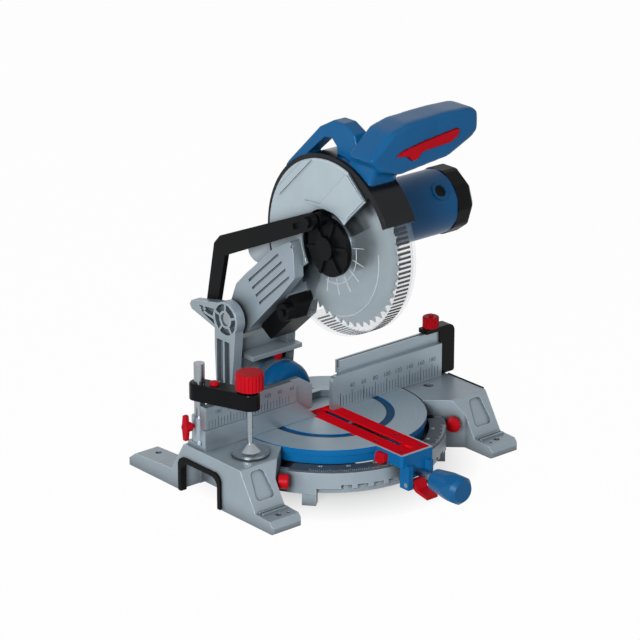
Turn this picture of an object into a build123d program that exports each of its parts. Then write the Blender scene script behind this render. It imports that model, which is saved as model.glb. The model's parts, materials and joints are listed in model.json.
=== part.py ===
from build123d import *
import os
from math import atan2, cos, degrees, hypot, radians, sin

# Bench-top compound mitre saw for a 216 mm blade.
# Millimetres. X to the operator's right, -Y towards the operator, Z up.
# Origin on the turntable's pivot axis, at the level of the bench.

# Base and table
TABLE_TOP = 66.0
TABLE_RADIUS = 126.8
TABLE_GAP = 2.7
BASE_HALF_WIDTH = 208.0
FOOT_FRONT = -138.0
FOOT_REAR = 156.0
FOOT_HEIGHT = 17.0
BLOCK_FRONT = -74.0
BLOCK_REAR = 38.0
BLOCK_INNER = 161.0
LEG_WALL = 6.0
BOLT_X = 185.0
BOLT_Y = 121.0
BOLT_HOLE_RADIUS = 4.25
FLOOR_BOTTOM = 16.0
FLOOR_TOP = 22.0
RING_RADIUS = 152.0
RING_WALL = 10.0
RING_TOP = 45.0
RING_BOTTOM = 24.0
SCALE_INNER_RADIUS = 130.0
SCALE_THICKNESS = 2.5
SCALE_HALF_ANGLE = 60.0
PIVOT_RADIUS = 8.0
PIVOT_HUB_RADIUS = 25.0
GRIP_FRONT = -38.0
GRIP_REAR = 47.0
GRIP_TOP = 48.0
TRIM_WALL = 6.0
TRIM_PROUD = 3.0
SOCKET_X = 161.5
SOCKET_Y = -14.0
SOCKET_DEPTH = 40.0
POST_RADIUS = 7.0
LOCK_KNOB_X = 149.5
LOCK_KNOB_Y = -75.6
LOCK_KNOB_Z = 36.0
LOCK_WALL_X = 0.676
LOCK_WALL_Y = 0.737

# Running and seating clearances
RUN = 0.05
GAP = 0.3

# Turntable
PLATE_THICKNESS = 9.0
SKIRT_BOTTOM = 46.0
GROOVE_INNER = 74.5
GROOVE_OUTER = 85.5
GROOVE_DEPTH = 1.2
ARM_HALF_WIDTH = 27.0
ARM_FRONT = -172.0
ARM_BOTTOM = 50.0
INSERT_HALF_WIDTH = 24.0
INSERT_REAR = 18.0
INSERT_FRONT = -168.0
INSERT_THICKNESS = 5.0
SLOT_HALF_WIDTH = 4.5
SLOT_FRONT = -141.0
SLOT_REAR = 12.0
BEVEL_RADIUS = 42.0
BEVEL_FRONT = 76.0
BEVEL_REAR = 112.0
BEVEL_SHAFT_RADIUS = 10.0
LOCK_AXIS_Z = 39.0
LOCK_ROD_RADIUS = 5.0
LOCK_KNOB_REAR = -206.0
LOCK_KNOB_LENGTH = 50.0

# Fences
FENCE_END = 203.0
RIGHT_END = 197.5
FENCE_THICKNESS = 7.0
LEFT_FENCE_TOP = 93.0
SLIDE_FENCE_TOP = 123.0
RIGHT_FENCE_TOP = 112.0
RAIL_TOP = 128.0
CLAMP_X = -191.0
CLAMP_Y = 26.0
CLAMP_SCREW_X = -165.0
CLAMP_SCREW_Y = -42.0
CLAMP_ARM_BOTTOM = 128.0
CLAMP_ARM_TOP = 150.0
POST_TOP = 175.0

# Column and chop hinge
CHOP_Y = 130.0
CHOP_Z = 172.0
CHOP_HUB_RADIUS = 24.0
CHOP_SHAFT_RADIUS = 9.0
EAR_LEFT = -66.0
EAR_THICKNESS = 14.0
EAR_RIGHT = 24.0
HEAD_LEFT = -42.0
HEAD_RIGHT = 22.0
LINK_PIVOT_Y = 177.0
LINK_PIVOT_Z = 174.0
LINK_PIN_RADIUS = 4.0

# Saw head
BLADE_Y = -28.0
BLADE_Z = 304.0
BLADE_RADIUS = 108.0
BLADE_THICKNESS = 2.4
TEETH = 48
GUARD_CLEARANCE = 12.5
GUARD_RADIUS = BLADE_RADIUS + GUARD_CLEARANCE
GUARD_WALL = 3.0
GUARD_LEFT = -27.0
GUARD_RIGHT = 24.0
FACE_RADIUS = GUARD_RADIUS - 6.0
LOWER_GUARD_RADIUS = GUARD_RADIUS - 4.5
LOWER_GUARD_WALL = 2.5
LOWER_GUARD_HALF_WIDTH = 19.0
LOWER_GUARD_START = 149.0
LOWER_GUARD_END = 295.0
UPPER_GUARD_START = -38.0
UPPER_GUARD_END = 146.0
RIM_START = -20.0
GUARD_PIVOT_RADIUS = 28.0
MOTOR_Y = 6.0
MOTOR_Z = 311.5
MOTOR_RADIUS = 43.0
MOTOR_START = 44.0
MOTOR_END = 188.0
CAP_LENGTH = 33.0
CAP_END = MOTOR_END + CAP_LENGTH
GEAR_TEETH = 36
PINION_TEETH = 9
SPOUT_X = -4.0
SPOUT_Y = 80.0
SPOUT_Z = 300.6
SPOUT_RADIUS = 18.0
SPOUT_LENGTH = 71.9
SPOUT_TURN = radians(46.3)
HANDLE_Y = -90.0
HANDLE_Z = 441.5
HANDLE_RISE = 3.0
HANDLE_LENGTH = 160.0
HANDLE_DEPTH = 46.0
HANDLE_EDGE = 12.0
CRANK_Y = -19.0
CRANK_Z = 341.0


def box(x0, x1, y0, y1, z0, z1):
    """Block between two corners."""
    return Pos((x0 + x1) / 2, (y0 + y1) / 2, (z0 + z1) / 2) * Box(x1 - x0, y1 - y0, z1 - z0)


def rod_x(radius, x0, x1, y, z):
    """Round bar along X."""
    return Pos((x0 + x1) / 2, y, z) * Rot(0, 90, 0) * Cylinder(radius, x1 - x0)


def rod_y(radius, y0, y1, x, z):
    """Round bar along Y."""
    return Pos(x, (y0 + y1) / 2, z) * Rot(90, 0, 0) * Cylinder(radius, y1 - y0)


def rod_z(radius, z0, z1, x=0, y=0):
    """Round bar along Z."""
    return Pos(x, y, (z0 + z1) / 2) * Cylinder(radius, z1 - z0)


def outline(points, corner):
    """Closed outline, with every corner rounded where a corner radius is given."""
    if corner:
        return make_face(FilletPolyline(*points, radius=corner, close=True))
    return make_face(Polyline(*points, close=True))


def side_prism(points, x0, x1, corner=0):
    """Outline in Y and Z, extruded along X."""
    return extrude(Plane.YZ.offset(x0) * outline(points, corner), amount=x1 - x0, dir=(1, 0, 0))


def plan_prism(points, z0, z1, corner=0):
    """Outline in X and Y, extruded along Z."""
    return extrude(Pos(0, 0, z0) * outline(points, corner), amount=z1 - z0, dir=(0, 0, 1))


def front_prism(points, y0, y1, corner=0):
    """Outline in X and Z, extruded along Y."""
    plane = Plane(origin=(0, y0, 0), x_dir=(1, 0, 0), z_dir=(0, -1, 0))
    return extrude(plane * outline(points, corner), amount=y1 - y0, dir=(0, 1, 0))


def polar(radius, angle, y=BLADE_Y, z=BLADE_Z):
    """Point in the blade's plane, its angle counted from the rear, upwards."""
    return (y + radius * cos(radians(angle)), z + radius * sin(radians(angle)))


def sector(radius, start, end, x0, x1):
    """Slice of a disc about the blade's axis between two angles."""
    steps = 8
    reach = 1.4 * radius
    turn = (end - start) / steps
    points = [(BLADE_Y, BLADE_Z)] + [polar(reach, start + turn * i) for i in range(steps + 1)]
    return rod_x(radius, x0, x1, BLADE_Y, BLADE_Z) & side_prism(points, x0, x1)


def ribbed_knob(radius, height, ribs, rib_depth):
    """Round knob standing on the XY plane, with grooves round its side."""
    knob = Pos(0, 0, height / 2) * Cylinder(radius, height)
    knob = fillet(knob.edges().group_by(Axis.Z)[-1], 2)
    groove = Pos(radius, 0, height / 2) * Cylinder(rib_depth, height + 2)
    for i in range(ribs):
        knob -= Rot(0, 0, 360 * i / ribs) * groove
    return knob


def base_leg():
    """Right-hand block with its front and rear feet."""
    side = side_prism(
        [
            (FOOT_FRONT, 0),
            (FOOT_FRONT, 8),
            (FOOT_FRONT + 7, FOOT_HEIGHT - 1),
            (BLOCK_FRONT - 30, FOOT_HEIGHT),
            (BLOCK_FRONT, TABLE_TOP),
            (BLOCK_REAR, TABLE_TOP),
            (BLOCK_REAR + 26, FOOT_HEIGHT + 7),
            (FOOT_REAR - 16, FOOT_HEIGHT + 3),
            (FOOT_REAR, 8),
            (FOOT_REAR, 0),
        ],
        SCALE_INNER_RADIUS - 40,
        BASE_HALF_WIDTH,
        2.5,
    )
    plan = plan_prism(
        [
            (BASE_HALF_WIDTH, FOOT_FRONT),
            (BASE_HALF_WIDTH, FOOT_REAR),
            (BLOCK_INNER + 11, FOOT_REAR),
            (BLOCK_INNER + 11, BLOCK_REAR + 28),
            (SCALE_INNER_RADIUS - 30, BLOCK_REAR - 28),
            (SCALE_INNER_RADIUS - 30, -30),
            (BLOCK_INNER, BLOCK_FRONT - 12),
            (BLOCK_INNER, FOOT_FRONT),
        ],
        0,
        TABLE_TOP,
        4,
    )
    leg = side & plan
    leg -= rod_z(RING_RADIUS, -1, RING_TOP)
    leg -= rod_z(TABLE_RADIUS + TABLE_GAP, FLOOR_TOP + 16, TABLE_TOP + 1)
    leg -= grip_cut(GRIP_FRONT, GRIP_REAR, GRIP_TOP, BASE_HALF_WIDTH - 40, BASE_HALF_WIDTH + 5)
    inner = BLOCK_INNER + 14
    leg -= box(inner, BASE_HALF_WIDTH - LEG_WALL, BLOCK_FRONT + 8, BLOCK_REAR + 10, -1, TABLE_TOP - 9)
    under = TABLE_TOP - SOCKET_DEPTH - 4
    leg -= box(BLOCK_INNER - 20, inner + 1, GRIP_FRONT + 14, GRIP_REAR - 24, -1, under)
    slope = Plane(
        origin=((BLOCK_INNER + BASE_HALF_WIDTH) / 2, BLOCK_FRONT - 15, (FOOT_HEIGHT + TABLE_TOP) / 2),
        x_dir=(1, 0, 0),
        z_dir=(0, FOOT_HEIGHT - TABLE_TOP, 30),
    )
    recess = outline([(-15, -15), (15, -15), (10, 23), (-10, 23)], 6)
    leg -= extrude(slope * recess, amount=-3, both=True)
    for y in (BLOCK_FRONT - 33, BLOCK_FRONT - 39):
        leg += box(BLOCK_INNER + 3, BASE_HALF_WIDTH - 4, y - 1.5, y + 1.5, FOOT_HEIGHT - 3, FOOT_HEIGHT + 2.5)
    for y in (-BOLT_Y, BOLT_Y):
        leg -= rod_z(BOLT_HOLE_RADIUS, -1, FOOT_HEIGHT + 12, BOLT_X, y)
    leg -= rod_z(2.2, -1, FOOT_HEIGHT + 12, BOLT_X - 13, -BOLT_Y - 3)
    return leg - extrude(lock_knob_place(1) * Circle(3 + RUN), amount=12, both=True)


def right_base_leg():
    """Right-hand block and feet, with the spare socket for a clamp's post."""
    socket = rod_z(POST_RADIUS + 0.25, TABLE_TOP - SOCKET_DEPTH, TABLE_TOP + 1, SOCKET_X, SOCKET_Y)
    return base_leg() - socket


def left_base_leg():
    """Left-hand block and feet, with the hole for the fitted clamp's post."""
    hole = rod_z(POST_RADIUS + RUN, TABLE_TOP - 26, TABLE_TOP + 1, CLAMP_X, CLAMP_Y)
    return mirror(base_leg(), about=Plane.YZ) - hole


def grip_cut(front, rear, top, x0, x1):
    """Inverted U of a hand opening, open downwards."""
    return side_prism([(front, -30), (rear, -30), (rear, top), (front, top)], x0, x1, 12)


def lock_knob_place(side):
    """Place of a red lock knob on a block's inner front wall, its axis pointing out of the wall."""
    return Plane(
        origin=(side * LOCK_KNOB_X, LOCK_KNOB_Y, LOCK_KNOB_Z),
        x_dir=(0, 0, 1),
        z_dir=(-side * LOCK_WALL_X, -LOCK_WALL_Y, 0),
    )


def base_casting():
    """Middle of the base: the turntable's ring, floor, pivot hub and ribs."""
    ring = rod_z(RING_RADIUS, RING_BOTTOM, RING_TOP) - rod_z(RING_RADIUS - RING_WALL, 0, 100)
    ring -= box(-200, 200, 10, 200, 0, 100)
    scallop = rod_z(7, RING_BOTTOM - 1, RING_BOTTOM + 5, 0, -RING_RADIUS)
    for i in range(-4, 5):
        ring -= Rot(0, 0, 8 * i) * scallop
    foot = box(-9, 9, -RING_RADIUS + 1, -RING_RADIUS + 15, 0, RING_BOTTOM + 2)
    for angle in (-50, 50):
        ring += Rot(0, 0, angle) * foot
    floor = rod_z(RING_RADIUS, FLOOR_BOTTOM, RING_BOTTOM + 1) - rod_z(RING_RADIUS - 12, FLOOR_TOP, 30)
    recess = rod_z(RING_RADIUS + 1, 0, RING_BOTTOM + 1) - rod_z(RING_RADIUS - 6, 0, 30)
    floor -= recess & box(-110, 110, -200, -20, 0, 30)
    floor -= plan_prism([(-16, -130), (16, -130), (16, -36), (-16, -36)], 0, 30, 6)
    body = ring + floor + rod_z(PIVOT_HUB_RADIUS, FLOOR_BOTTOM, RING_TOP)
    rib = box(-3, 3, -RING_RADIUS + 5, -PIVOT_HUB_RADIUS + 3, FLOOR_TOP - 1, RING_TOP - 7)
    for angle in (-90, -32, 32, 90):
        body += Rot(0, 0, angle) * rib
    body -= rod_z(PIVOT_RADIUS + RUN, 0, 100)
    return body - rod_z(PIVOT_RADIUS + 7, 0, FLOOR_BOTTOM + 6)


def grip_trim():
    """Rubber edge strip of the right-hand opening."""
    x0 = BASE_HALF_WIDTH - LEG_WALL
    x1 = BASE_HALF_WIDTH + TRIM_PROUD
    strip = grip_cut(GRIP_FRONT, GRIP_REAR, GRIP_TOP, x0, x1)
    strip -= grip_cut(GRIP_FRONT + TRIM_WALL, GRIP_REAR - TRIM_WALL, GRIP_TOP - TRIM_WALL, x0 - 1, x1 + 1)
    return strip & box(x0, x1, -100, 100, 1, 100)


def edge_strip():
    """Rubber strip along the right block's outer top edge."""
    x1 = BASE_HALF_WIDTH + TRIM_PROUD
    strip = box(BASE_HALF_WIDTH, x1, BLOCK_FRONT + 6, -GAP, TABLE_TOP - 7, TABLE_TOP + 1)
    return fillet(strip.edges().filter_by(Axis.Y).group_by(Axis.Z)[-1], 1)


def mitre_scale_ring():
    """Scale ring round the front of the turntable."""
    ring = rod_z(RING_RADIUS, RING_TOP, RING_TOP + SCALE_THICKNESS)
    ring -= rod_z(SCALE_INNER_RADIUS, 0, 100)
    reach = 3 * RING_RADIUS
    a = radians(SCALE_HALF_ANGLE)
    wedge = [(0, 0), (-reach * sin(a), -reach * cos(a)), (0, -reach), (reach * sin(a), -reach * cos(a))]
    return ring & plan_prism(wedge, 0, 100)


def pivot_bolt():
    """Bolt on which the turntable turns."""
    bolt = rod_z(PIVOT_RADIUS, FLOOR_BOTTOM + 4, TABLE_TOP - PLATE_THICKNESS)
    return bolt + rod_z(PIVOT_RADIUS + 5, FLOOR_BOTTOM - 4, FLOOR_BOTTOM + 6)


def lock_knob(side):
    """Thumb knob of an extension-bar clamp in a block's inner wall."""
    place = lock_knob_place(side)
    grip = extrude(place.offset(2) * Circle(9.5), amount=13)
    grip = fillet(grip.edges().filter_by(GeomType.CIRCLE), 1.5)
    return grip + extrude(place.offset(-10) * Circle(3), amount=13)


def fence_casting():
    """Fixed fence: left and right faces, their feet and the bow that joins them behind the blade."""
    z0 = TABLE_TOP
    t = FENCE_THICKNESS
    table_clear = z0 + GAP
    left = box(-FENCE_END, -20, 0, t, table_clear, LEFT_FENCE_TOP)
    left -= front_prism([(-20, table_clear), (-10, LEFT_FENCE_TOP + 1), (-53, LEFT_FENCE_TOP + 1)], -1, t + 1)
    right = box(7, RIGHT_END, 0, t, table_clear, RIGHT_FENCE_TOP)
    right = fillet(right.edges().filter_by(Axis.Y).group_by(Axis.Z)[-1].sort_by(Axis.X)[0], 7)
    left_foot = box(-FENCE_END, -150, 0, 36, z0, z0 + 5)
    right_foot = box(150, RIGHT_END, 0, 36, z0, z0 + 5)
    bow_outer = [(-56, 0), (-56, 40), (-30, 58), (30, 58), (56, 40), (56, 0)]
    bow_inner = [(44, 0), (44, 36), (26, 47), (-26, 47), (-44, 36), (-44, 0)]
    bow = plan_prism(bow_outer + bow_inner, table_clear, z0 + 9, 2)
    boss = rod_z(POST_RADIUS + 3.4, z0, z0 + 38, CLAMP_X, CLAMP_Y)
    body = left + right + left_foot + right_foot + bow + boss
    for x, y in fence_screw_places():
        body -= rod_z(2.6, z0 - 1, z0 + 6, x, y)
    body -= rod_z(POST_RADIUS + RUN, z0 - 1, z0 + 60, CLAMP_X, CLAMP_Y)
    body -= rod_x(3 + RUN, -230, CLAMP_X, CLAMP_Y, z0 + 27)
    return body


def fence_screw_places():
    """Places of the fence's hold-down screws."""
    return [(-158, 30), (-172, 22), (158, 30), (190, 30)]


def fence_screws():
    """Socket screws that hold the fence's feet down."""
    screws = []
    for x, y in fence_screw_places():
        screw = rod_z(2.5, TABLE_TOP, TABLE_TOP + 6, x, y) + rod_z(4.5, TABLE_TOP + 5, TABLE_TOP + 9, x, y)
        screws.append(screw)
    return screws


def left_sliding_fence():
    """Upper left fence, which slides outwards for bevel cuts."""
    y0 = FENCE_THICKNESS + GAP
    z0 = TABLE_TOP + 10
    points = [(-200, z0), (-22, z0), (-22, 109), (-44, SLIDE_FENCE_TOP), (-200, SLIDE_FENCE_TOP)]
    plate = front_prism(points, y0, y0 + 6)
    lip = box(-200, -52, y0 - 5, y0 + 1, LEFT_FENCE_TOP + GAP, SLIDE_FENCE_TOP)
    top = SLIDE_FENCE_TOP
    lip &= front_prism([(-200, 90), (-52, 90), (-52, 116), (-60, top), (-200, top)], 0, 20)
    return plate + lip


def fence_rail():
    """Extruded rail that carries the length stop behind the right fence."""
    y0 = FENCE_THICKNESS + GAP
    rail = box(25, 198, y0, y0 + 9, 92, RAIL_TOP)
    rail -= box(20, 200, y0 + 3, y0 + 6, RAIL_TOP - 10, RAIL_TOP + 1)
    rail -= box(20, 200, y0 + 6, y0 + 10, 98, 110)
    return rail


def stop_bracket():
    """End plate of the stop rail with the ear that carries its lock knob."""
    y0 = FENCE_THICKNESS + GAP
    x0 = 198
    plate = box(x0, 224, y0 - 3, y0 + 13, TABLE_TOP + GAP, 134)
    plate = fillet(plate.edges().filter_by(Axis.Y).group_by(Axis.X)[-1].sort_by(Axis.Z)[-1], 11)
    plate = fillet(plate.edges().filter_by(Axis.Y).group_by(Axis.X)[-1].sort_by(Axis.Z)[0], 3)
    ear = box(174, x0 + 4, y0 - 3, y0 + 13, RAIL_TOP, 134)
    return plate + ear - rod_z(3 + RUN, RAIL_TOP - 4, 140, 188, y0 + 5)


def rail_lock_knob():
    """Ribbed red knob with its screw on the stop bracket."""
    y = FENCE_THICKNESS + GAP + 5
    knob = Pos(188, y, 134 + GAP) * ribbed_knob(11, 15, 18, 0.9)
    return knob + rod_z(3, RAIL_TOP + GAP, 152, 188, y)


def clamp_arm():
    """Arm of the hold-down clamp, from its post out over the table."""
    dx = CLAMP_SCREW_X - CLAMP_X
    dy = CLAMP_SCREW_Y - CLAMP_Y
    length = hypot(dx, dy)
    arm = extrude(SlotCenterToCenter(length, 26), amount=CLAMP_ARM_TOP - CLAMP_ARM_BOTTOM)
    arm = fillet(arm.edges().group_by(Axis.Z)[-1], 3)
    arm = Pos((CLAMP_X + CLAMP_SCREW_X) / 2, (CLAMP_Y + CLAMP_SCREW_Y) / 2, CLAMP_ARM_BOTTOM) * Rot(
        0, 0, degrees(atan2(dy, dx))
    ) * arm
    arm -= rod_z(POST_RADIUS + RUN, 100, 200, CLAMP_X, CLAMP_Y)
    arm -= rod_z(4 + RUN, 100, 200, CLAMP_SCREW_X, CLAMP_SCREW_Y)
    return arm


def clamp_arm_screw():
    """Grub screw that fixes the clamp's arm to its post."""
    x = CLAMP_X + 0.3 * (CLAMP_SCREW_X - CLAMP_X)
    y = CLAMP_Y + 0.3 * (CLAMP_SCREW_Y - CLAMP_Y)
    return fillet(rod_z(6, CLAMP_ARM_TOP, CLAMP_ARM_TOP + 4, x, y).edges().group_by(Axis.Z)[-1], 1.5)


def clamp_spindle():
    """Clamp screw with its pressure pad."""
    pad = rod_z(24, TABLE_TOP + 2, TABLE_TOP + 5)
    cone = Pos(0, 0, TABLE_TOP + 10) * Cone(13, 4, 10)
    rod = rod_z(4, TABLE_TOP + 4, CLAMP_ARM_TOP + 16)
    return Pos(CLAMP_SCREW_X, CLAMP_SCREW_Y, 0) * (pad + cone + rod)


def clamp_knob():
    """Ribbed red hand knob of the clamp screw."""
    knob = ribbed_knob(18, 22, 22, 1.2) - rod_z(4, -1, CLAMP_ARM_TOP + 16 - CLAMP_ARM_TOP - 4)
    return Pos(CLAMP_SCREW_X, CLAMP_SCREW_Y, CLAMP_ARM_TOP + 4) * knob


def clamp_wing_screw():
    """Wing screw that holds the clamp's post in its socket."""
    z = TABLE_TOP + 27
    shank = rod_x(3, -214, CLAMP_X - POST_RADIUS - GAP, CLAMP_Y, z)
    hub = rod_x(6, -216, -206, CLAMP_Y, z)
    wing = side_prism([(CLAMP_Y - 5, z), (CLAMP_Y - 3, z + 17), (CLAMP_Y + 3, z + 17), (CLAMP_Y + 5, z),
                       (CLAMP_Y + 3, z - 17), (CLAMP_Y - 3, z - 17)], -216, -211, 1.5)
    return shank + hub + wing


def turntable():
    """Turning table: disc, front arm with lugs, and the bevel housing at the rear."""
    top = TABLE_TOP
    lip = top - PLATE_THICKNESS + 1
    disc = rod_z(TABLE_RADIUS, lip, top) + rod_z(TABLE_RADIUS - 3, SKIRT_BOTTOM, lip)
    disc -= rod_z(TABLE_RADIUS - 9, 0, top - PLATE_THICKNESS)
    arm = box(-ARM_HALF_WIDTH, ARM_HALF_WIDTH, ARM_FRONT, -90, ARM_BOTTOM, top)
    arm = fillet(arm.edges().filter_by(Axis.Z).group_by(Axis.Y)[0], 4)
    body = disc + arm
    body -= box(-ARM_HALF_WIDTH + 5, ARM_HALF_WIDTH - 5, ARM_FRONT + 8, -60, 0, top - PLATE_THICKNESS)
    for x in (-17, 17):
        body += box(x - 4, x + 4, ARM_FRONT - 6, ARM_FRONT + 10, 20, ARM_BOTTOM + 2)
    body += box(-15, 15, ARM_FRONT, ARM_FRONT + 9, LOCK_AXIS_Z - 6.5, ARM_BOTTOM + 2)
    body += rod_z(PIVOT_HUB_RADIUS, RING_TOP, top - PLATE_THICKNESS + 1)
    groove = rod_z(GROOVE_OUTER, top - GROOVE_DEPTH, top + 1) - rod_z(GROOVE_INNER, 0, top + 2)
    body -= groove
    body -= box(-80, 80, BEVEL_REAR, 140, 0, 100)
    housing = rod_y(BEVEL_RADIUS, BEVEL_FRONT, BEVEL_REAR, 0, top)
    housing = fillet(housing.edges().group_by(Axis.Y)[0], 16)
    housing -= box(-60, 60, 0, 140, 0, top - PLATE_THICKNESS + 1)
    body += housing
    body += box(-BEVEL_RADIUS, BEVEL_RADIUS, BEVEL_FRONT + 10, BEVEL_REAR, SKIRT_BOTTOM, top - 1)
    body -= rod_y(BEVEL_SHAFT_RADIUS, BEVEL_FRONT + 12, BEVEL_REAR + 1, 0, top)
    body -= rod_z(PIVOT_RADIUS + RUN, 0, top - PLATE_THICKNESS + GAP)
    half = INSERT_HALF_WIDTH
    body -= box(-half, half, INSERT_FRONT, INSERT_REAR, top - INSERT_THICKNESS, top + 1)
    body -= box(-12, 30, SLOT_FRONT - 4, -PIVOT_HUB_RADIUS - 1, 0, top - INSERT_THICKNESS + 0.5) & box(
        -12, ARM_HALF_WIDTH - 5, -200, 0, 0, 100)
    body -= box(-12, 20, -PIVOT_HUB_RADIUS - 2, SLOT_REAR, top - PLATE_THICKNESS + 0.5, top)
    body -= rod_y(LOCK_ROD_RADIUS + RUN, ARM_FRONT - 10, ARM_FRONT + 30, 0, LOCK_AXIS_Z)
    body -= rod_x(3, -30, 30, ARM_FRONT - 1, 26)
    return body


def table_insert():
    """Red slotted insert along the table's kerf."""
    z0 = TABLE_TOP - INSERT_THICKNESS
    insert = box(-INSERT_HALF_WIDTH, INSERT_HALF_WIDTH, INSERT_FRONT, INSERT_REAR, z0, TABLE_TOP)
    w = SLOT_HALF_WIDTH
    slot = [(-w, z0 - 1), (-w, TABLE_TOP + 1), (w, TABLE_TOP + 1), (w, TABLE_TOP - 1), (w + 5, z0 - 1)]
    insert -= front_prism(slot, SLOT_FRONT, SLOT_REAR)
    insert -= extrude(Pos(0, SLOT_FRONT - 11, z0 - 1) * Rot(0, 0, 90) * SlotOverall(13, 8), amount=10)
    for x, y in insert_screw_places():
        insert -= rod_z(2, z0 - 1, TABLE_TOP + 1, x, y)
        insert -= rod_z(3.6, TABLE_TOP - 2, TABLE_TOP + 1, x, y)
    return insert


def insert_screw_places():
    """Places of the insert's countersunk screws."""
    return [(-17, 4), (-17, -112), (17, -112), (-17, -158), (17, -158)]


def insert_screws():
    """Small screws that hold the insert down."""
    screws = []
    for x, y in insert_screw_places():
        head = rod_z(3.5, TABLE_TOP - 2, TABLE_TOP - 0.6, x, y)
        screws.append(head + rod_z(1.95, TABLE_TOP - INSERT_THICKNESS, TABLE_TOP - 1, x, y))
    return screws


def mitre_pointer():
    """Red pointer over the mitre scale, on the arm's left wall."""
    x1 = -ARM_HALF_WIDTH
    points = [(-146, 52), (-146, 62), (-130, 62), (-128, 49), (-140, RING_TOP + SCALE_THICKNESS + GAP)]
    return side_prism(points, x1 - 7, x1)


def detent_lever():
    """Red lever under the arm that lifts out of the mitre detents."""
    y = ARM_FRONT - 1
    upper = [(y - 27, 11), (y - 27, 15), (y - 8, 20), (y - 4, 30.5), (y + 3, 30.5)]
    lower = [(y + 16, 22), (y + 16, 19), (y + 3, 21), (y - 6, 15)]
    lever = side_prism(upper + lower, -9, 9)
    return lever - rod_x(3 + RUN, -20, 20, y, 26)


def mitre_lock_rod():
    """Threaded rod that clamps the arm against the base ring."""
    return rod_y(LOCK_ROD_RADIUS, LOCK_KNOB_REAR - 10, -RING_RADIUS - GAP, 0, LOCK_AXIS_Z)


def mitre_lock_knob():
    """Blue hand knob of the mitre lock, with six flats round its thick end."""
    end = LOCK_KNOB_LENGTH
    profile = Polyline((0, 0), (14, 0), (19.5, end - 12), (19, end - 6), (14, end), (0, end), close=True)
    knob = revolve(Plane.XZ * make_face(profile), Axis.Z)
    for i in range(6):
        knob -= Rot(0, 0, 60 * i) * box(17.6, 30, -20, 20, -1, end + 1)
    knob = Pos(0, LOCK_KNOB_REAR, LOCK_AXIS_Z) * Rot(90, 0, 0) * knob
    return knob - rod_y(LOCK_ROD_RADIUS, LOCK_KNOB_REAR - 10, LOCK_KNOB_REAR + 1, 0, LOCK_AXIS_Z)


def bevel_scale():
    """Angle scale bent round the bevel housing."""
    band = rod_y(BEVEL_RADIUS + 0.8, BEVEL_REAR - 14, BEVEL_REAR - 4, 0, TABLE_TOP)
    band -= rod_y(BEVEL_RADIUS, 0, 200, 0, TABLE_TOP)
    return band - box(-60, 60, 0, 200, 0, TABLE_TOP + 14)


def bevel_lock_lever():
    """Clamping lever of the bevel hinge, behind the column."""
    y0 = BEVEL_REAR + 34 + GAP
    hub = rod_y(16, y0, y0 + 18, 0, TABLE_TOP)
    bar = front_prism([(0, 58), (50, 70), (58, 76), (56, 84), (48, 84), (0, 76)], y0 + 6, y0 + 16, 2)
    return hub + bar - rod_y(BEVEL_SHAFT_RADIUS + RUN, y0 - 1, y0 + 12, 0, TABLE_TOP)


def ear(x0, x1, foot_rear):
    """Column ear round the chop hinge, running down to the bevel flange."""
    hub = rod_x(CHOP_HUB_RADIUS, x0, x1, CHOP_Y, CHOP_Z)
    leg = [(118, 78), (foot_rear, 78), (foot_rear + 2, 130), (152, CHOP_Z), (109, CHOP_Z), (112.5, 130)]
    return hub + side_prism(leg, x0, x1)


def tilt_column():
    """Tilting column: bevel flange, back wall, top bracket and the two chop-hinge ears."""
    front = BEVEL_REAR + GAP
    back = BEVEL_REAR + 34
    left_end = EAR_LEFT + EAR_THICKNESS
    body = rod_y(BEVEL_RADIUS - 4, front, back, 0, TABLE_TOP)
    body += front_prism([(-40, 60), (40, 60), (38, 140), (left_end, 140), (-60, 78)], front + 16, back)
    left = ear(EAR_LEFT, left_end, 150)
    horn = [(CHOP_Y - 4, 195.5), (200, 180), (204, 174), (200, 168), (148, 154)]
    left += side_prism(horn, EAR_LEFT, left_end)
    left -= rod_x(CHOP_HUB_RADIUS - 3, EAR_LEFT - 1, EAR_LEFT + 7, CHOP_Y, CHOP_Z)
    left += rod_x(CHOP_SHAFT_RADIUS + 3, EAR_LEFT, EAR_LEFT + 8, CHOP_Y, CHOP_Z)
    spoke = box(EAR_LEFT, EAR_LEFT + 8, -1.5, 1.5, CHOP_SHAFT_RADIUS, CHOP_HUB_RADIUS - 1)
    for angle in (0, 72, 144, 216, 288):
        left += Pos(0, CHOP_Y, CHOP_Z) * Rot(angle, 0, 0) * spoke
    left -= side_prism([(152, 181), (186, 177.5), (168, 171), (156, 170)], EAR_LEFT - 1, EAR_LEFT + 7)
    left -= side_prism([(154, 166), (180, 170), (152, 159)], EAR_LEFT - 1, EAR_LEFT + 7)
    left -= box(EAR_LEFT - 1, EAR_LEFT + 7, 121, 132, 82, 142)
    left -= box(EAR_LEFT - 1, EAR_LEFT + 7, 135, 148, 82, 142)
    right = ear(EAR_RIGHT, EAR_RIGHT + EAR_THICKNESS, 148)
    body += left + right
    body += box(-46, EAR_RIGHT + EAR_THICKNESS, front - 14, back, 118, 124)
    body -= rod_y(BEVEL_SHAFT_RADIUS + RUN, front - 2, back + 2, 0, TABLE_TOP)
    body -= rod_x(CHOP_SHAFT_RADIUS, EAR_LEFT - 2, 60, CHOP_Y, CHOP_Z)
    return body - rod_x(LINK_PIN_RADIUS, EAR_LEFT - 2, left_end + 2, LINK_PIVOT_Y, LINK_PIVOT_Z)


def bevel_pointer():
    """Red pointer over the bevel scale."""
    y = BEVEL_REAR - 9
    z0 = TABLE_TOP + BEVEL_RADIUS + 1.5
    return front_prism([(-2, z0), (2, z0), (5, z0 + 4), (5, 118), (-5, 118), (-5, z0 + 4)], y - 3, y + 5)


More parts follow.
